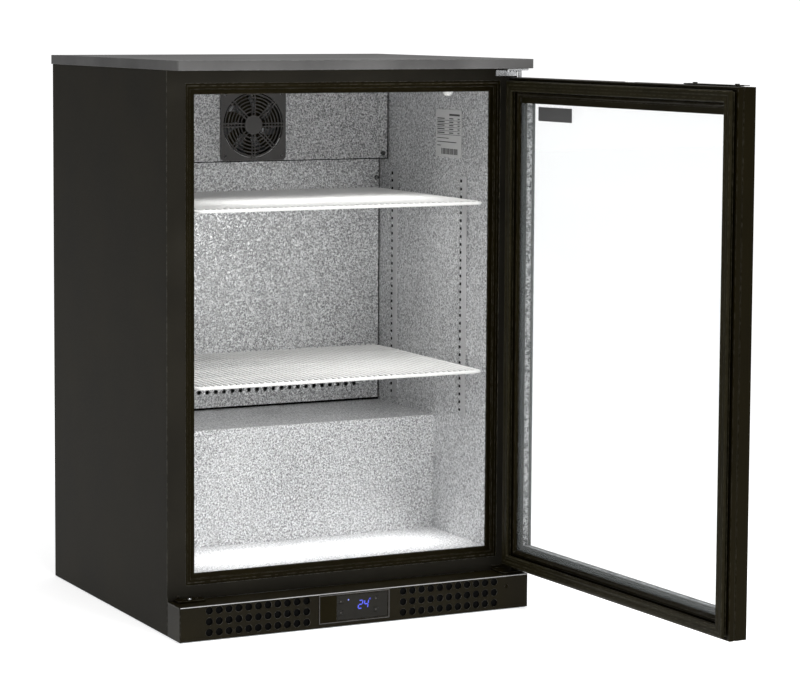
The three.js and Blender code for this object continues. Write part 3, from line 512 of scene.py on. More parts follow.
def softened(points, radius):
    """The closed outline with each corner replaced by a short arc."""
    result = []
    count = len(points)
    for i, point in enumerate(points):
        here = Vector(point)
        before = Vector(points[i - 1]) - here
        after = Vector(points[(i + 1) % count]) - here
        reach = min(radius, before.length * 0.45, after.length * 0.45)
        start = here + before.normalized() * reach
        end = here + after.normalized() * reach
        for k in range(CORNER_STEPS + 1):
            t = k / CORNER_STEPS
            result.append(tuple(start * (1 - t) ** 2 + here * 2 * t * (1 - t) + end * t ** 2))
    return result


def lathe(profile, count):
    """A turned mesh about Z from (radius, height) points."""
    work = bmesh.new()
    rows = []
    for radius, height in profile:
        if radius < 1e-7:
            rows.append([work.verts.new((0, 0, height))])
        else:
            rows.append([work.verts.new((x, y, height)) for x, y in circle(0, 0, radius, count)])
    for lower, upper in zip(rows, rows[1:]):
        for i in range(count):
            k = (i + 1) % count
            ring = [row[j % len(row)] for row, j in ((lower, i), (lower, k), (upper, k), (upper, i))]
            distinct = list(dict.fromkeys(ring))
            if len(distinct) > 2:
                work.faces.new(distinct)
    mesh = bpy.data.meshes.new("lathe")
    work.to_mesh(mesh)
    work.free()
    return mesh


def towards(place, direction):
    """Puts local Z along a direction at a place."""
    turn = Vector(direction).to_track_quat("Z", "Y").to_matrix().to_4x4()
    return Matrix.Translation(place) @ turn


# ------------------------ door's closed position
HINGE = JOINTS["door_hinge"]
PIVOT = Vector(HINGE["pos_m"])
OPEN_ANGLE = -math.radians(HINGE["range_deg"][0])
SWING = (
    Matrix.Translation(PIVOT) @ Matrix.Rotation(OPEN_ANGLE, 4, "Z") @ Matrix.Translation(-PIVOT)
)
UNSWING = SWING.inverted()


def closed_box(node):
    """The lowest and highest corner of a door's piece with the door closed."""
    corners = [UNSWING @ vertex.co for vertex in NODES[node].data.vertices]
    low = Vector([min(corner[i] for corner in corners) for i in range(3)])
    high = Vector([max(corner[i] for corner in corners) for i in range(3)])
    return low, high


# ------------------------ screws
FORWARD, BACKWARD = (0, -1, 0), (0, 1, 0)
UP, DOWN = (0, 0, 1), (0, 0, -1)


def screw_mesh(radius, rise):
    """A pan head with a cross recess, its seat at height 0."""
    dome = [(radius, 0), (radius, rise * 0.35), (radius * 0.9, rise * 0.7), (radius * 0.6, rise * 0.93)]
    head = lathe([(0, 0), *dome, (radius * 0.22, rise), (0, rise * 0.45)], 20)
    bar = rounded(-radius * 0.62, radius * 0.62, -radius * 0.13, radius * 0.13, radius * 0.1, 2)
    cross = [bar, [(v, -u) for u, v in bar]]
    marks = [plate(outline, [], "z", rise * 0.93, rise * 1.02, rise * 0.02) for outline in cross]
    return joined(head, *marks)


def screw(name, place, direction, radius, rise, look="zinc"):
    return add_piece(name, screw_mesh(radius, rise), "cabinet", look, towards(place, direction))


# ------------------------ casing
# Width in millimetres of the softened edges of the CAD nodes that are shown as they are.
BEVELLED = {
    "worktop": 0.9, "left_side_panel": 0.35, "right_side_panel": 0.35, "rear_panel": 0.3,
    "rear_grille": 0.3, "control_bezel": 0.3, "top_hinge_bracket": 0.4, "bottom_hinge_bracket": 0.4,
    "spare_hinge_pad": 0.5, "lock_plate": 0.3, "base_tray": 0.3, "evaporation_tray": 0.4,
    "power_inlet": 0.5, "outer_glass": 0.4, "inner_glass": 0.4, "evaporator_cover": 0.25,
}


# CAD nodes whose look isn't the one named after their slot.
OWN_LOOK = {"worktop": "worktop", "drip_pan": "plain_aluminium", "evaporator_cover": "shaded_stucco_cover"}


def finish_cad_nodes():
    for node, piece in NODES.items():
        look = LOOKS[OWN_LOOK.get(node, SLOT_OF[node])]
        if piece.material_slots:
            piece.material_slots[0].material = look
        else:
            piece.data.materials.append(look)
        if node in BEVELLED:
            bevel = piece.modifiers.new("soft_edges", "BEVEL")
            bevel.width = BEVELLED[node] * MM
            bevel.segments = 3
            bevel.limit_method = "ANGLE"


def front_frame():
    """The powder-coated surround as a flat plate with softened edges."""
    low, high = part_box("front_frame")
    inner_low, inner_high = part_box("breaker_frame")
    side = inner_low.x - low.x
    opening = rectangle(low.x + side, high.x - side, inner_low.z, inner_high.z)
    stand_in(plate(front_of(low, high), [opening], "y", low.y, high.y, 0.35 * MM), "front_frame")


def breaker_frame():
    """The plastic ring: a bead at the outside, a step, and a lip over the liner's edge."""
    low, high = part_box("breaker_frame")
    wide = 17.5 * MM
    y = low.y
    back = high.y
    profile = [
        (0, back), (0, y + 0.5 * MM), (1.2 * MM, y), (3.4 * MM, y), (4.6 * MM, y + 0.8 * MM),
        (8.5 * MM, y + 1.0 * MM), (9.5 * MM, back - 3.4 * MM), (wide - 1.6 * MM, back - 3.0 * MM),
        (wide - 0.4 * MM, back - 2.2 * MM), (wide - 0.4 * MM, back),
    ]
    mesh = swept_frame(softened(profile, 0.7 * MM), low, high)
    stand_in(mesh, "breaker_frame", degrees=40)


# ------------------------ plinth and controls
PLINTH_HOLE = 6.1 * MM
PLINTH_PITCH = 16.1 * MM
PLINTH_ROWS = (12.5 * MM, 29.1 * MM, 45.7 * MM)
PLINTH_COLUMNS = 11
PLINTH_GROUPS = (-249.5 * MM, 76.6 * MM)
PLINTH_SHEET = 1.2 * MM
PLINTH_EDGE = 0.3 * MM
SHADE_SHEET_MARGIN = 3 * MM


def plinth_grille():
    low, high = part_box("plinth_grille")
    bezel_low, bezel_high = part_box("control_bezel")
    holes = [
        circle(first + column * PLINTH_PITCH, z, PLINTH_HOLE, 24)
        for first in PLINTH_GROUPS for column in range(PLINTH_COLUMNS) for z in PLINTH_ROWS
    ]
    window = front_of(bezel_low, bezel_high, 0.5 * MM)
    face = plate(front_of(low, high), [*holes, window], "y", low.y, low.y + PLINTH_SHEET, PLINTH_EDGE)
    inside = low.y + PLINTH_EDGE
    top = plate(rectangle(low.x, high.x, inside, high.y), [], "z", high.z - PLINTH_SHEET, high.z, PLINTH_EDGE)
    ends = [
        plate(rectangle(inside, high.y, low.z, high.z), [], "x", x, x + PLINTH_SHEET, PLINTH_EDGE)
        for x in (low.x, high.x - PLINTH_SHEET)
    ]
    stand_in(joined(face, top, *ends), "plinth_grille", look="plinth_steel")
    # A thin bright strip on the plinth's top front edge: a painted highlight.
    edge = plate(
        rectangle(low.x + 1 * MM, high.x - 1 * MM, high.z - 1.3 * MM, high.z - 0.2 * MM), [],
        "y", low.y - 0.12 * MM, low.y, 0.04 * MM,
    )
    add_piece("plinth_edge_highlight", edge, "cabinet", "strip_face_and_highlight")
    # Dark sheets behind the grille's holes: painted shade inside the holes.
    behind = low.y + PLINTH_SHEET + 2.5 * MM
    for name, x0, x1 in (
        ("left", low.x + 8 * MM, bezel_low.x - SHADE_SHEET_MARGIN),
        ("right", bezel_high.x + SHADE_SHEET_MARGIN, high.x - 8 * MM),
    ):
        outline = rectangle(x0, x1, low.z + SHADE_SHEET_MARGIN, high.z - SHADE_SHEET_MARGIN)
        shade_sheet = plate(outline, [], "y", behind, behind + 1.5 * MM)
        add_piece("grille_shade_sheet_" + name, shade_sheet, "cabinet", "painted_shade")


SEGMENTS = {2: "abged", 4: "fgbc"}
DIGITS = ((2, -1.6 * MM), (4, 8.2 * MM))  # each with its left edge
DIGIT_FOOT = 26 * MM
DIGIT_SIZE = (6.5 * MM, 12.3 * MM)
DIGIT_STROKE = 1.8 * MM
DIGIT_SLANT = 0.16
DEGREE_MARK = (18.8 * MM, 39.6 * MM)
LAMP_MARK = (-18 * MM, 41 * MM)
MARK_LIFT = 0.12 * MM
MARK_EDGE = 0.02 * MM


def digit(number, left):
    """Seven-segment strokes of one digit as outlines in X, Z."""
    width, height = DIGIT_SIZE
    middle = height / 2
    half = DIGIT_STROKE / 2
    gap = DIGIT_STROKE * 0.18

    def bar(start, end):
        """The six corners of a bar with pointed ends, as (along, aside)."""
        return [
            (start + gap, 0), (start + half + gap, half), (end - half - gap, half),
            (end - gap, 0), (end - half - gap, -half), (start + half + gap, -half),
        ]

    def across(z):
        return [(along, z + aside) for along, aside in bar(0, width)]

    def upright(x, z):
        return [(x + aside, along) for along, aside in bar(z, z + middle)]

    shapes = {
        "a": across(height), "g": across(middle), "d": across(0),
        "f": upright(0, middle), "b": upright(width, middle), "e": upright(0, 0), "c": upright(width, 0),
    }
    return [
        [(left + x + DIGIT_SLANT * z, DIGIT_FOOT + z) for x, z in shapes[key]] for key in SEGMENTS[number]
    ]


def display_marks():
    """The lit number, its degree mark and lamp, and the bezel's raised rim."""
    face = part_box("display_window")[0].y

    def lit(outline, *holes):
        return plate(outline, holes, "y", face - MARK_LIFT, face, MARK_EDGE)

    strokes = [lit(outline) for number, left in DIGITS for outline in digit(number, left)]
    degree = lit(circle(*DEGREE_MARK, 1.3 * MM, 20), circle(*DEGREE_MARK, 0.7 * MM, 16))
    add_piece("display_digits", joined(*strokes, degree), "cabinet", "blue_digits")
    low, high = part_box("control_bezel")
    rim = plate(front_of(low, high), [front_of(low, high, 1.1 * MM)], "y", low.y - 0.4 * MM, low.y, 0.15 * MM)
    add_piece("bezel_rim", rim, "cabinet", "dark_grey_plastic")
    add_piece("display_lamp", lit(circle(*LAMP_MARK, 1.1 * MM, 18)), "cabinet", "white_lamp")


def button_marks():
    """A small plain shape on each button."""
    def arrow(x, z, way):
        size = 1.5 * MM
        return [(x - size, z - way * size * 0.7), (x + size, z - way * size * 0.7), (x, z + way * size)]

    shapes = {
        "set_button": lambda x, z: circle(x, z, 1.3 * MM, 18),
        "lamp_button": lambda x, z: rounded(x - 1.4 * MM, x + 1.4 * MM, z - 0.8 * MM, z + 0.8 * MM, 0.5 * MM),
        "up_button": lambda x, z: arrow(x, z, 1),
        "down_button": lambda x, z: arrow(x, z, -1),
    }
    for node, outline in shapes.items():
        low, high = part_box(node)
        middle = (low + high) / 2
        mesh = plate(outline(middle.x, middle.z), [], "y", low.y - 0.08 * MM, low.y, MARK_EDGE)
        add_piece(node + "_mark", mesh, BODY_OF[node], "dark_grey_plastic")


# ------------------------ cold air
ROUND = 64  # points in a large circle
GUARD_BORE, GUARD_HUB = 0.938, 0.27  # radii as shares of half the guard's width
GUARD_RINGS = [0.385 + 0.098 * i for i in range(6)]
GUARD_SPOKES = 8
GUARD_FACE = 1.2 * MM
HIGHLIGHT_ARC_RADIUS = 53.2 * MM
HIGHLIGHT_ARC_DEGREES = range(203, 337, 3)  # the lower part of the rim, where a painted highlight stands for the light it catches


def fan_guard():
    low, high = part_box("fan_guard")
    centre_x, centre_z = (low.x + high.x) / 2, (low.z + high.z) / 2
    half = (high.x - low.x) / 2
    bore = half * GUARD_BORE
    hub = half * GUARD_HUB
    face = low.y + GUARD_FACE
    rim = plate(
        rounded(low.x, high.x, low.z, high.z, 7 * MM), [circle(centre_x, centre_z, bore, ROUND)],
        "y", face, high.y, 0.5 * MM,
    )
    y = low.y + 2.2 * MM
    rings = [[(u, y, v) for u, v in circle(centre_x, centre_z, half * share, ROUND)] for share in GUARD_RINGS]
    hoops = curve_mesh(rings, bevel=1.05 * MM)
    centre = Vector((centre_x, y - 0.7 * MM, centre_z))
    spokes = []
    for i in range(GUARD_SPOKES):
        angle = 2 * math.pi / GUARD_SPOKES * i
        along = Vector((math.cos(angle), 0, math.sin(angle)))
        aside = Vector((-math.sin(angle), 0, math.cos(angle))) * 2.6 * MM
        for side in (-1, 1):
            spokes.append([tuple(centre + along * r + aside * side) for r in (hub * 0.9, bore + 0.6 * MM)])
    bars = curve_mesh(spokes, bevel=1.1 * MM, closed=False)
    disc = lathe([(0, 0), (hub, 0), (hub, 2.2 * MM), (hub * 0.9, 3.0 * MM), (0, 3.3 * MM)], 40)
    disc.transform(towards((centre_x, high.y - 0.8 * MM, centre_z), FORWARD))
    stand_in(joined(rim, hoops, bars, disc), "fan_guard")
    corner = half - 7.5 * MM
    for i, (side, rise) in enumerate(((-1, -1), (1, -1), (-1, 1), (1, 1))):
        place = (centre_x + side * corner, face, centre_z + rise * corner)
        screw(f"guard_screw_{i + 1}", place, FORWARD, 2.9 * MM, 1.1 * MM, "dark_zinc")
    fan_opening(centre_x, centre_z)


def fan_opening(x, z):
    """Painted highlight arcs on the lower part of the rim of the cover's opening behind the guard, and a painted
    shadow round it.
    """
    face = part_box("evaporator_cover")[0].y
    shadow = plate(
        circle(x, z, 54.5 * MM, ROUND), [circle(x, z, 51.5 * MM, ROUND)],
        "y", face - 0.22 * MM, face - 0.1 * MM, 0.02 * MM,
    )
    add_piece("fan_opening_shadow", shadow, "cabinet", "painted_shade")
    lip = [
        (x + HIGHLIGHT_ARC_RADIUS * math.cos(angle), face - 0.3 * MM, z + HIGHLIGHT_ARC_RADIUS * math.sin(angle))
        for angle in map(math.radians, HIGHLIGHT_ARC_DEGREES)
    ]
    # White arcs only where light falls: a painted highlight.
    rim = curve_mesh([lip], bevel=0.6 * MM, closed=False)
    add_piece("fan_opening_highlight", rim, "cabinet", "white_coating")


def rotor(node, blades, hub_share, sweep, pitch):
    """A hub with cambered blades whose pitch falls off towards the tip."""
    joint = JOINTS[node + "_spin"]
    centre = Vector(joint["pos_m"])
    low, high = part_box(node)
    radius = (high.z - low.z) / 2 * 0.985
    hub = radius * hub_share
    depth = (high.y - low.y) / 2
    cup = [
        (0, -depth * 0.8), (hub * 0.85, -depth * 0.8), (hub, -depth * 0.6), (hub, depth * 0.8),
        (hub * 0.9, depth * 0.8), (hub * 0.9, -depth * 0.4), (0, -depth * 0.4),
    ]

    def outline(grid):
        ends = [row[-1] for row in grid[1:]]
        starts = [row[0] for row in reversed(grid[1:-1])]
        return [*grid[0], *ends, *reversed(grid[-1][:-1]), *starts]

    work = bmesh.new()
    spans, steps = 10, 8
    for blade in range(blades):
        base = 2 * math.pi * blade / blades
        for face in (1, -1):
            grid = []
            for i in range(spans + 1):
                t = i / spans
                r = hub * 0.97 + (radius - hub * 0.97) * t
                lean = pitch * (1 - 0.45 * t)
                chord = (2 * math.pi / blades) * 0.78
                row = []
                for k in range(steps + 1):
                    s = k / steps - 0.5
                    angle = base + sweep * t * t + chord * s * math.cos(lean)
                    camber = 0.18 * depth * (1 - 4 * s * s)
                    y = depth * 1.55 * s * math.sin(lean) + camber - face * 0.45 * MM * (1 - 3.4 * s * s)
                    row.append(work.verts.new((r * math.cos(angle), y, r * math.sin(angle))))
                grid.append(row)
            for i in range(spans):
                for k in range(steps):
                    work.faces.new((grid[i][k], grid[i + 1][k], grid[i + 1][k + 1], grid[i][k + 1]))
            if face == 1:
                first = grid
        outer, inner = outline(first), outline(grid)
        for k in range(len(outer)):
            after = (k + 1) % len(outer)
            work.faces.new((outer[k], outer[after], inner[after], inner[k]))
    mesh = bpy.data.meshes.new(node)
    work.to_mesh(mesh)
    work.free()
    middle = lathe(cup, 32)
    middle.transform(Matrix.Rotation(math.pi / 2, 4, "X"))
    stand_in(joined(mesh, middle), node, place=Matrix.Translation(centre))


DUCT_HOLES = 28
DUCT_PITCH = 15.05 * MM
DUCT_HOLE_HALF = 3.6 * MM
DUCT_HOLE_SPAN = (25.2 * MM, 33.4 * MM)  # above the panel's foot


def painted_seam_shade(name, face, *outlines):
    """Painted shade of the gaps along the edges of a sheet: dark strips just in front of its face."""
    meshes = [plate(outline, [], "y", face - 0.15 * MM, face, 0.05 * MM) for outline in outlines]
    add_piece(name, joined(*meshes), "cabinet", "painted_shade")


def air_duct_panel():
    low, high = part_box("air_duct_panel")
    bottom, top = (low.z + height for height in DUCT_HOLE_SPAN)
    holes = []
    for i in range(DUCT_HOLES):
        x = (i - (DUCT_HOLES - 1) / 2) * DUCT_PITCH
        holes.append(rounded(x - DUCT_HOLE_HALF, x + DUCT_HOLE_HALF, bottom, top, 3.5 * MM))
    stand_in(plate(front_of(low, high), holes, "y", low.y, high.y, 0.15 * MM), "air_duct_panel")
    foot, side = 3.4 * MM, 1.4 * MM
    painted_seam_shade("duct_seam_shades", low.y, rectangle(low.x, high.x, low.z, low.z + foot),
              rectangle(high.x - side, high.x, low.z, high.z))


def cover_seam_shade_and_screws():
    """The painted shade along the cover's seam, and the screws of the cover and the duct panel."""
    low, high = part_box("evaporator_cover")
    seam = 1.5 * MM
    painted_seam_shade("cover_seam_shade", low.y, rectangle(low.x, high.x, low.z, low.z + seam),
              rectangle(high.x - seam, high.x, low.z, high.z))
    duct_low, duct_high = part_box("air_duct_panel")
    edge, duct_edge = 9.5 * MM, 6 * MM
    duct_z = duct_high.z - 33 * MM
    for name, x, y, z in (
        ("cover_screw_right", high.x - edge, low.y, low.z + edge),
        ("cover_screw_left", low.x + edge, low.y, low.z + edge),
        ("duct_screw_right", duct_high.x - duct_edge, duct_low.y, duct_z),
        ("duct_screw_left", duct_low.x + duct_edge, duct_low.y, duct_z),
    ):
        screw(name, (x, y, z), FORWARD, 4.2 * MM, 1.9 * MM, "dark_zinc")


# ------------------------ shelves
STRIP_BEHIND = 6 * MM
SLOT_HALF = (4.3 * MM, 2.5 * MM)
SLOT_PITCH = 12.7 * MM
SLOT_COUNT = 30
FIRST_SLOT = 8 * MM
SLOT_SHADOW = 5 * MM
STRIP_SHEET = 0.9 * MM
STRIP_INSET = 1.0 * MM
STRIP_EDGE = 0.15 * MM


def pilaster(node):
    """A slotted strip with folded edges, and a raised channel in front of its slots."""
    low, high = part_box(node)
    right = low.x > 0
    inward = 1 if right else -1
    wall = high.x if right else low.x
    face = low.x + STRIP_INSET if right else high.x - STRIP_INSET
    slot_y = high.y - STRIP_BEHIND

    def sheet(outline, start, thick, edge, holes=()):
        start = face + inward * start
        return plate(outline, holes, "x", *sorted((start, start + inward * thick)), edge)

    slots = []
    for i in range(SLOT_COUNT):
        z = low.z + FIRST_SLOT + i * SLOT_PITCH
        slots.append(rounded(
            slot_y - SLOT_HALF[0], slot_y + SLOT_HALF[0], z - SLOT_HALF[1], z + SLOT_HALF[1], 0.8 * MM, 2))
    strip = sheet(rectangle(low.y, high.y, low.z, high.z), 0, STRIP_SHEET, STRIP_EDGE, slots)
    flanges = [
        sheet(rectangle(y, y + STRIP_SHEET, low.z, high.z), 0, abs(wall - face), STRIP_EDGE)
        for y in (low.y, high.y - STRIP_SHEET)
    ]
    stand_in(joined(strip, *flanges), node)
    outline = rounded(low.y + 1.2 * MM, slot_y - SLOT_SHADOW, low.z, high.z, 2 * MM)
    channel = sheet(outline, -1.0 * MM, 1.4 * MM, 0.6 * MM)
    add_piece(node + "_channel", channel, "cabinet", "strip_face_and_highlight")
    outline = rectangle(slot_y - SLOT_SHADOW, slot_y + SLOT_SHADOW, low.z + 2 * MM, high.z - 2 * MM)
    shadow = sheet(outline, STRIP_SHEET + 0.1 * MM, 0.3 * MM, 0.05 * MM)
    add_piece(node + "_slot_shadow", shadow, "cabinet", "painted_shade")


SHELF_BORDER = 2.5 * MM  # radii of the border and the fine wires
SHELF_FINE = 1.55 * MM
SHELF_PITCHES = 48


def wire_shelf(node):
    """Close white wires from front to back, welded over cross wires and a border wire."""
    low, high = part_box(node)
    level = low.z + SHELF_BORDER
    x0, x1, y0, y1 = low.x + SHELF_BORDER, high.x - SHELF_BORDER, low.y + SHELF_BORDER, high.y - SHELF_BORDER
    border = [(u, v, level) for u, v in rounded(x0, x1, y0, y1, 9 * MM, 6)]
    rim = curve_mesh([border], bevel=SHELF_BORDER, sides=4)
    top = high.z - SHELF_FINE
    front, back = y0 - 0.6 * MM, y1 + 0.4 * MM
    lines = []
    for i in range(1, SHELF_PITCHES):
        x = x0 + (x1 - x0) * i / SHELF_PITCHES
        bend = [(x, front + 0.9 * MM, top - 0.6 * MM), (x, front + 2.6 * MM, top)]
        lines.append([(x, front, level), *bend, (x, back, top)])
    wires = curve_mesh(lines, bevel=SHELF_FINE, closed=False)
    cross = [[(x0, y, level), (x1, y, level)] for y in (y0 + (y1 - y0) * k / 4 for k in (1, 2, 3))]
    bars = curve_mesh(cross, bevel=SHELF_BORDER * 0.95, sides=3, closed=False)
    stand_in(joined(rim, wires, bars), node, degrees=60)


LABEL_Y = (-0.128, -0.041)
LABEL_Z = (0.704, 0.781)
LABEL_ROWS = (14, 19.5, 25, 31, 37)  # millimetres down from the label's top
LABEL_BARS = 13
FLAT_BELOW = 20  # degrees, for thin flat pieces


def wall_label():
    """A small label with a plain ruled table and a block of bars, on the right wall."""
    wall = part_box("front_right_pilaster")[0].x + 3.7 * MM
    front = wall - 0.15 * MM
    (y0, y1), (z0, z1) = LABEL_Y, LABEL_Z
    paper = plate(rounded(y0, y1, z0, z1, 2 * MM), [], "x", front, wall, 0.03 * MM)
    add_piece("wall_label", paper, "cabinet", "paper", degrees=FLAT_BELOW)
    wide = y1 - y0

    def mark(start, end, down, tall):
        """start and end are shares of the width from the label's left, seen from the front."""
        return rectangle(y1 - wide * end, y1 - wide * start, z1 - (down + tall) * MM, z1 - down * MM)

    marks = [mark(0.52, 0.92, 7, 3.2)]
    for down in LABEL_ROWS:
        marks += [mark(start, end, down, 1.7) for start, end in ((0.06, 0.34), (0.52, 0.68), (0.84, 0.92))]
        marks.append(mark(0.04, 0.96, down + 3.4, 0.7))
    marks += [mark(0.06, 0.5, 46, 1.1), mark(0.06, 0.8, 52, 1.3), mark(0.06, 0.2, 58, 1.3)]
    for i in range(LABEL_BARS):
        start = 0.22 + 0.05 * i
        marks.append(mark(start, start + (0.036 if i % 3 else 0.022), 63, 9.5))
    meshes = [plate(outline, [], "x", wall - 0.22 * MM, front, 0.01 * MM) for outline in marks]
    add_piece("wall_label_lines", joined(*meshes), "cabinet", "ink", degrees=FLAT_BELOW)


# ------------------------ door
def door_frame():
    """Black extrusion with a rounded bead towards the cabinet and a sloped lip at the glass."""
    low, high = closed_box("door_frame")
    outer, inner = low.y, high.y
    rail = 30 * MM
    groove = 22 * MM
    glass_back = closed_box("inner_glass")[1].y + 0.3 * MM
    glass_front = closed_box("outer_glass")[0].y - 0.3 * MM
    profile = [
        (0, outer + 1.2 * MM), (1.2 * MM, outer), (rail - 1.5 * MM, outer), (rail, outer + 1.2 * MM),
        (rail, glass_front), (groove, glass_front), (groove, glass_back), (rail, glass_back),
        (rail, glass_back + 1.5 * MM), (28.6 * MM, inner - 4.2 * MM), (27.4 * MM, inner - 2.8 * MM),
        (26.6 * MM, inner - 0.7 * MM), (25.2 * MM, inner), (23.6 * MM, inner), (22.6 * MM, inner - 0.9 * MM),
        (22 * MM, inner - 1.8 * MM), (4.2 * MM, inner - 1.8 * MM), (3.6 * MM, inner - 0.4 * MM),
        (1.0 * MM, inner - 0.4 * MM), (0, inner - 1.4 * MM), (0, inner - 9 * MM),
        (0.9 * MM, inner - 9.7 * MM), (0.9 * MM, inner - 10.6 * MM), (0, inner - 11.3 * MM),
    ]
    mesh = swept_frame(softened(profile, 0.8 * MM), low, high)
    stand_in(mesh, "door_frame", place=SWING, degrees=42)


def door_gasket():
    """Magnetic strip on a folded bellows, with two soft ribs on its sealing face."""
    low, high = closed_box("door_gasket")
    root, tip = low.y, high.y
    profile = [
        (2 * MM, root), (15 * MM, root), (15 * MM, root + 1.4 * MM), (12 * MM, root + 2.2 * MM),
        (12 * MM, root + 3.4 * MM), (16.6 * MM, root + 4.6 * MM), (17 * MM, tip - 2.2 * MM),
        (15.6 * MM, tip - 0.3 * MM), (12.8 * MM, tip), (10.8 * MM, tip - 1.0 * MM),
        (7.8 * MM, tip - 1.0 * MM), (5.8 * MM, tip), (2.4 * MM, tip - 0.2 * MM),
        (0.4 * MM, tip - 1.8 * MM), (0.2 * MM, root + 4.6 * MM), (4.2 * MM, root + 3.4 * MM),
        (4.2 * MM, root + 2.2 * MM), (2 * MM, root + 1.4 * MM),
    ]
    mesh = swept_frame(softened(profile, 0.9 * MM), low, high)
    stand_in(mesh, "door_gasket", place=SWING, degrees=50)


def quads(corners):
    """A mesh of separate flat quads, each given by its four corners."""
    vertices = [corner for quad in corners for corner in quad]
    faces = [tuple(range(4 * i, 4 * i + 4)) for i in range(len(corners))]
    mesh = bpy.data.meshes.new("quads")
    mesh.from_pydata(vertices, [], faces)
    return mesh


SPACER_WIDE = 7.5 * MM
DOT_PITCH = 3.2 * MM
DOT_SIZE = (1.0 * MM, 1.5 * MM)
DOT_MARGIN = 12 * MM
DOT_LIFT = 0.05 * MM


def spacer_dots(low, high):
    """Two rows of small vent dots on the inner side of each upright of the spacer."""
    wide, tall = DOT_SIZE
    dots = []
    for x in (low.x + SPACER_WIDE + DOT_LIFT, high.x - SPACER_WIDE - DOT_LIFT):
        for y in (low.y + 3.1 * MM, high.y - 2.6 * MM):
            z = low.z + DOT_MARGIN
            while z < high.z - DOT_MARGIN:
                dots.append([(x, v, w) for v, w in rectangle(y - wide / 2, y + wide / 2, z, z + tall)])
                z += DOT_PITCH
    add_piece("spacer_dots", quads(dots), "door", "painted_shade", SWING)


def glass_spacer():
    """A hollow aluminium bar between the panes, its vent dots, and black sealant beads."""
    low, high = closed_box("glass_spacer")
    wide = SPACER_WIDE
    back, front = low.y, high.y
    cut = 1 * MM
    profile = [
        (0, back), (wide - cut, back), (wide, back + cut),
        (wide, front - cut), (wide - cut, front), (0, front),
    ]
    bar = swept_frame(softened(profile, 0.5 * MM), low, high)
    stand_in(bar, "glass_spacer", look="spacer_bar", place=SWING)
    spacer_dots(low, high)
    for name, face, over, out in (
        ("inner", front, -0.5 * MM, 0.25 * MM),
        ("outer", back, 1.6 * MM, -0.25 * MM),
    ):
        reach = wide + 0.3 * MM
        bead = [
            (0, face), (wide - 0.9 * MM, face), (wide + 0.2 * MM, face + over),
            (reach, face + over), (reach, face + out), (0, face + out),
        ]
        mesh = swept_frame(bead, low, high)
        add_piece(name + "_sealant", mesh, "door", "rubber", SWING)


RAIL_SIGHT = 29.5 * MM  # from the door's edge to where its rail stops hiding the glass
TAPE_TALL = 9.5 * MM
STICKER_FROM_EDGE = (169.5 * MM, 77 * MM)
STICKER_Z = (0.771, 0.7925)


def top_glass_tape():
    """The dark tape that hides the spacer along the top rail."""
    face = closed_box("inner_glass")[1].y
    low, high = closed_box("door_frame")
    top = high.z - RAIL_SIGHT
    strip = rectangle(low.x + RAIL_SIGHT, high.x - RAIL_SIGHT, top - TAPE_TALL, top)
    mesh = plate(strip, [], "y", face, face + 0.2 * MM, 0.03 * MM)
    add_piece("top_glass_tape", mesh, "door", "rubber", SWING)


def glass_sticker():
    """A plain grey sticker on the inner pane."""
    face = closed_box("inner_glass")[1].y
    edge = closed_box("door_frame")[1].x
    x0, x1 = (edge - distance for distance in STICKER_FROM_EDGE)
    mesh = plate(rounded(x0, x1, *STICKER_Z, 1 * MM, 3), [], "y", face, face + 0.15 * MM, 0.03 * MM)
    add_piece("glass_sticker", mesh, "door", "sticker", SWING)


def top_buffer():
    """The low white buffer on the door's top edge."""
    low, high = closed_box("door_frame")
    profile = [
        (0, 0), (9 * MM, 0), (9 * MM, 0.7 * MM), (7 * MM, 2.2 * MM), (3.5 * MM, 3.0 * MM), (0, 3.2 * MM),
    ]
    place = SWING @ Matrix.Translation((high.x - 303 * MM, low.y + 12 * MM, high.z))
    add_piece("top_buffer", lathe(profile, 28), "door", "white_coating", place)


def front_screws():
    """Screws of the hinge bracket, spare pad and plinth, and the plugs in the front frame."""
    low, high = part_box("top_hinge_bracket")
    under = high.z - 3 * MM
    for i, x in enumerate((low.x + 8 * MM, low.x + 20 * MM)):
        screw(f"top_hinge_screw_{i + 1}", (x, low.y + 11 * MM, under), DOWN, 4 * MM, 2.6 * MM)
    low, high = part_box("spare_hinge_pad")
    for i, (share, look) in enumerate(((0.27, "black_steel"), (0.48, "zinc"), (0.72, "black_steel"))):
        place = (low.x + (high.x - low.x) * share, (low.y + high.y) / 2, high.z)
        screw(f"pad_screw_{i + 1}", place, UP, 3.2 * MM, 1.6 * MM, look)
    low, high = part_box("front_frame")
    for name, x in (("left", low.x + 17 * MM), ("right", high.x - 12 * MM)):
        place = (x, low.y, low.z + 5 * MM)  # low enough to clear the closed door's gasket
        screw("frame_plug_" + name, place, FORWARD, 2.6 * MM, 0.8 * MM, "black_plastic")
    place = (0.260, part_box("plinth_grille")[0].y, 0.037)
    screw("plinth_screw", place, FORWARD, 3.4 * MM, 1.0 * MM, "black_steel")


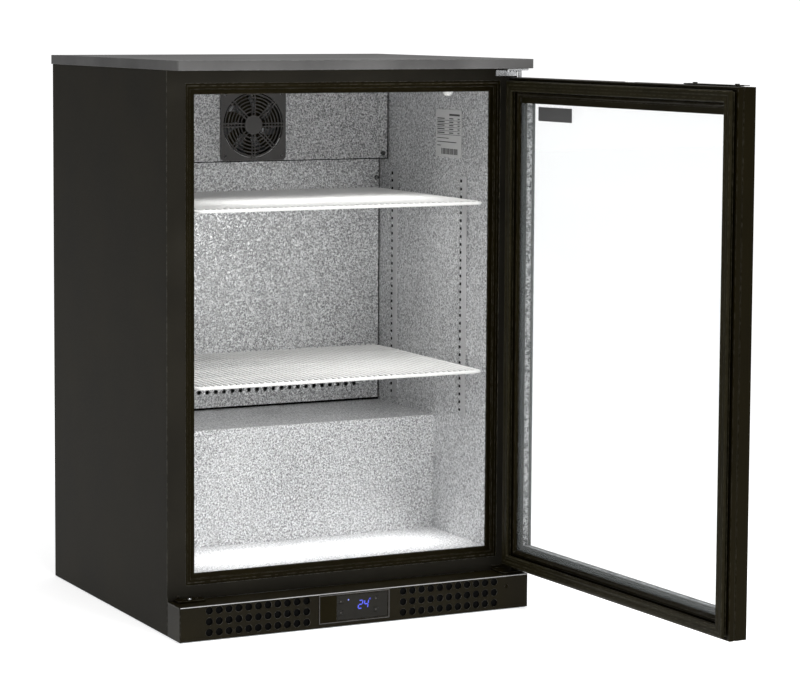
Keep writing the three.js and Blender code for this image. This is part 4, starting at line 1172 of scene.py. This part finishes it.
# ------------------------ machine side
def screw_grid(prefix, y, columns, rows):
    places = [(x, y, z) for x in columns for z in rows]
    for i, place in enumerate(places):
        screw(f"{prefix}_{i + 1}", place, BACKWARD, 3.6 * MM, 1.6 * MM)


def rear_screws():
    side = 9 * MM
    low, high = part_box("rear_panel")
    end = 12 * MM
    rows = (low.z + end, (low.z + high.z) / 2, high.z - end)
    screw_grid("rear_screw", high.y, (low.x + side, 0, high.x - side), rows)
    low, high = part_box("rear_grille")
    end = 10 * MM
    screw_grid("grille_screw", high.y, (low.x + side, high.x - side), (low.z + end, high.z - end))


FLOOR_HALF = 12
FLOOR_DROP = 0.0005  # just under the feet
FLOOR_GLOW = 0.6


def make_floor():
    mesh = bpy.data.meshes.new("floor")
    corners = rectangle(-FLOOR_HALF, FLOOR_HALF, -FLOOR_HALF, FLOOR_HALF)
    mesh.from_pydata([(x, y, 0) for x, y in corners], [], [(0, 1, 2, 3)])
    floor = bpy.data.objects.new("floor", mesh)
    bpy.context.scene.collection.objects.link(floor)
    floor.location.z = -FLOOR_DROP
    material, tree = new_material("floor")
    shader = tree.nodes["Principled BSDF"]
    shader.inputs["Base Color"].default_value = (0.93, 0.93, 0.93, 1)
    shader.inputs["Roughness"].default_value = 0.75
    shader.inputs["Specular IOR Level"].default_value = 0.1
    shader.inputs["Emission Color"].default_value = WHITE
    shader.inputs["Emission Strength"].default_value = FLOOR_GLOW
    floor.data.materials.append(material)


make_camera()
make_studio()
make_floor()
finish_cad_nodes()
front_frame()
breaker_frame()
plinth_grille()
display_marks()
button_marks()
fan_guard()
rotor("evaporator_fan", 7, 0.4, 0.35, 0.75)
rotor("condenser_fan", 5, 0.34, 0.3, 0.6)
air_duct_panel()
cover_seam_shade_and_screws()
for strip_node in sorted(node for node in NODES if node.endswith("_pilaster")):
    pilaster(strip_node)
for shelf_node in ("upper_shelf", "lower_shelf"):
    wire_shelf(shelf_node)
wall_label()
door_frame()
door_gasket()
glass_spacer()
glass_sticker()
top_glass_tape()
top_buffer()
front_screws()
rear_screws()
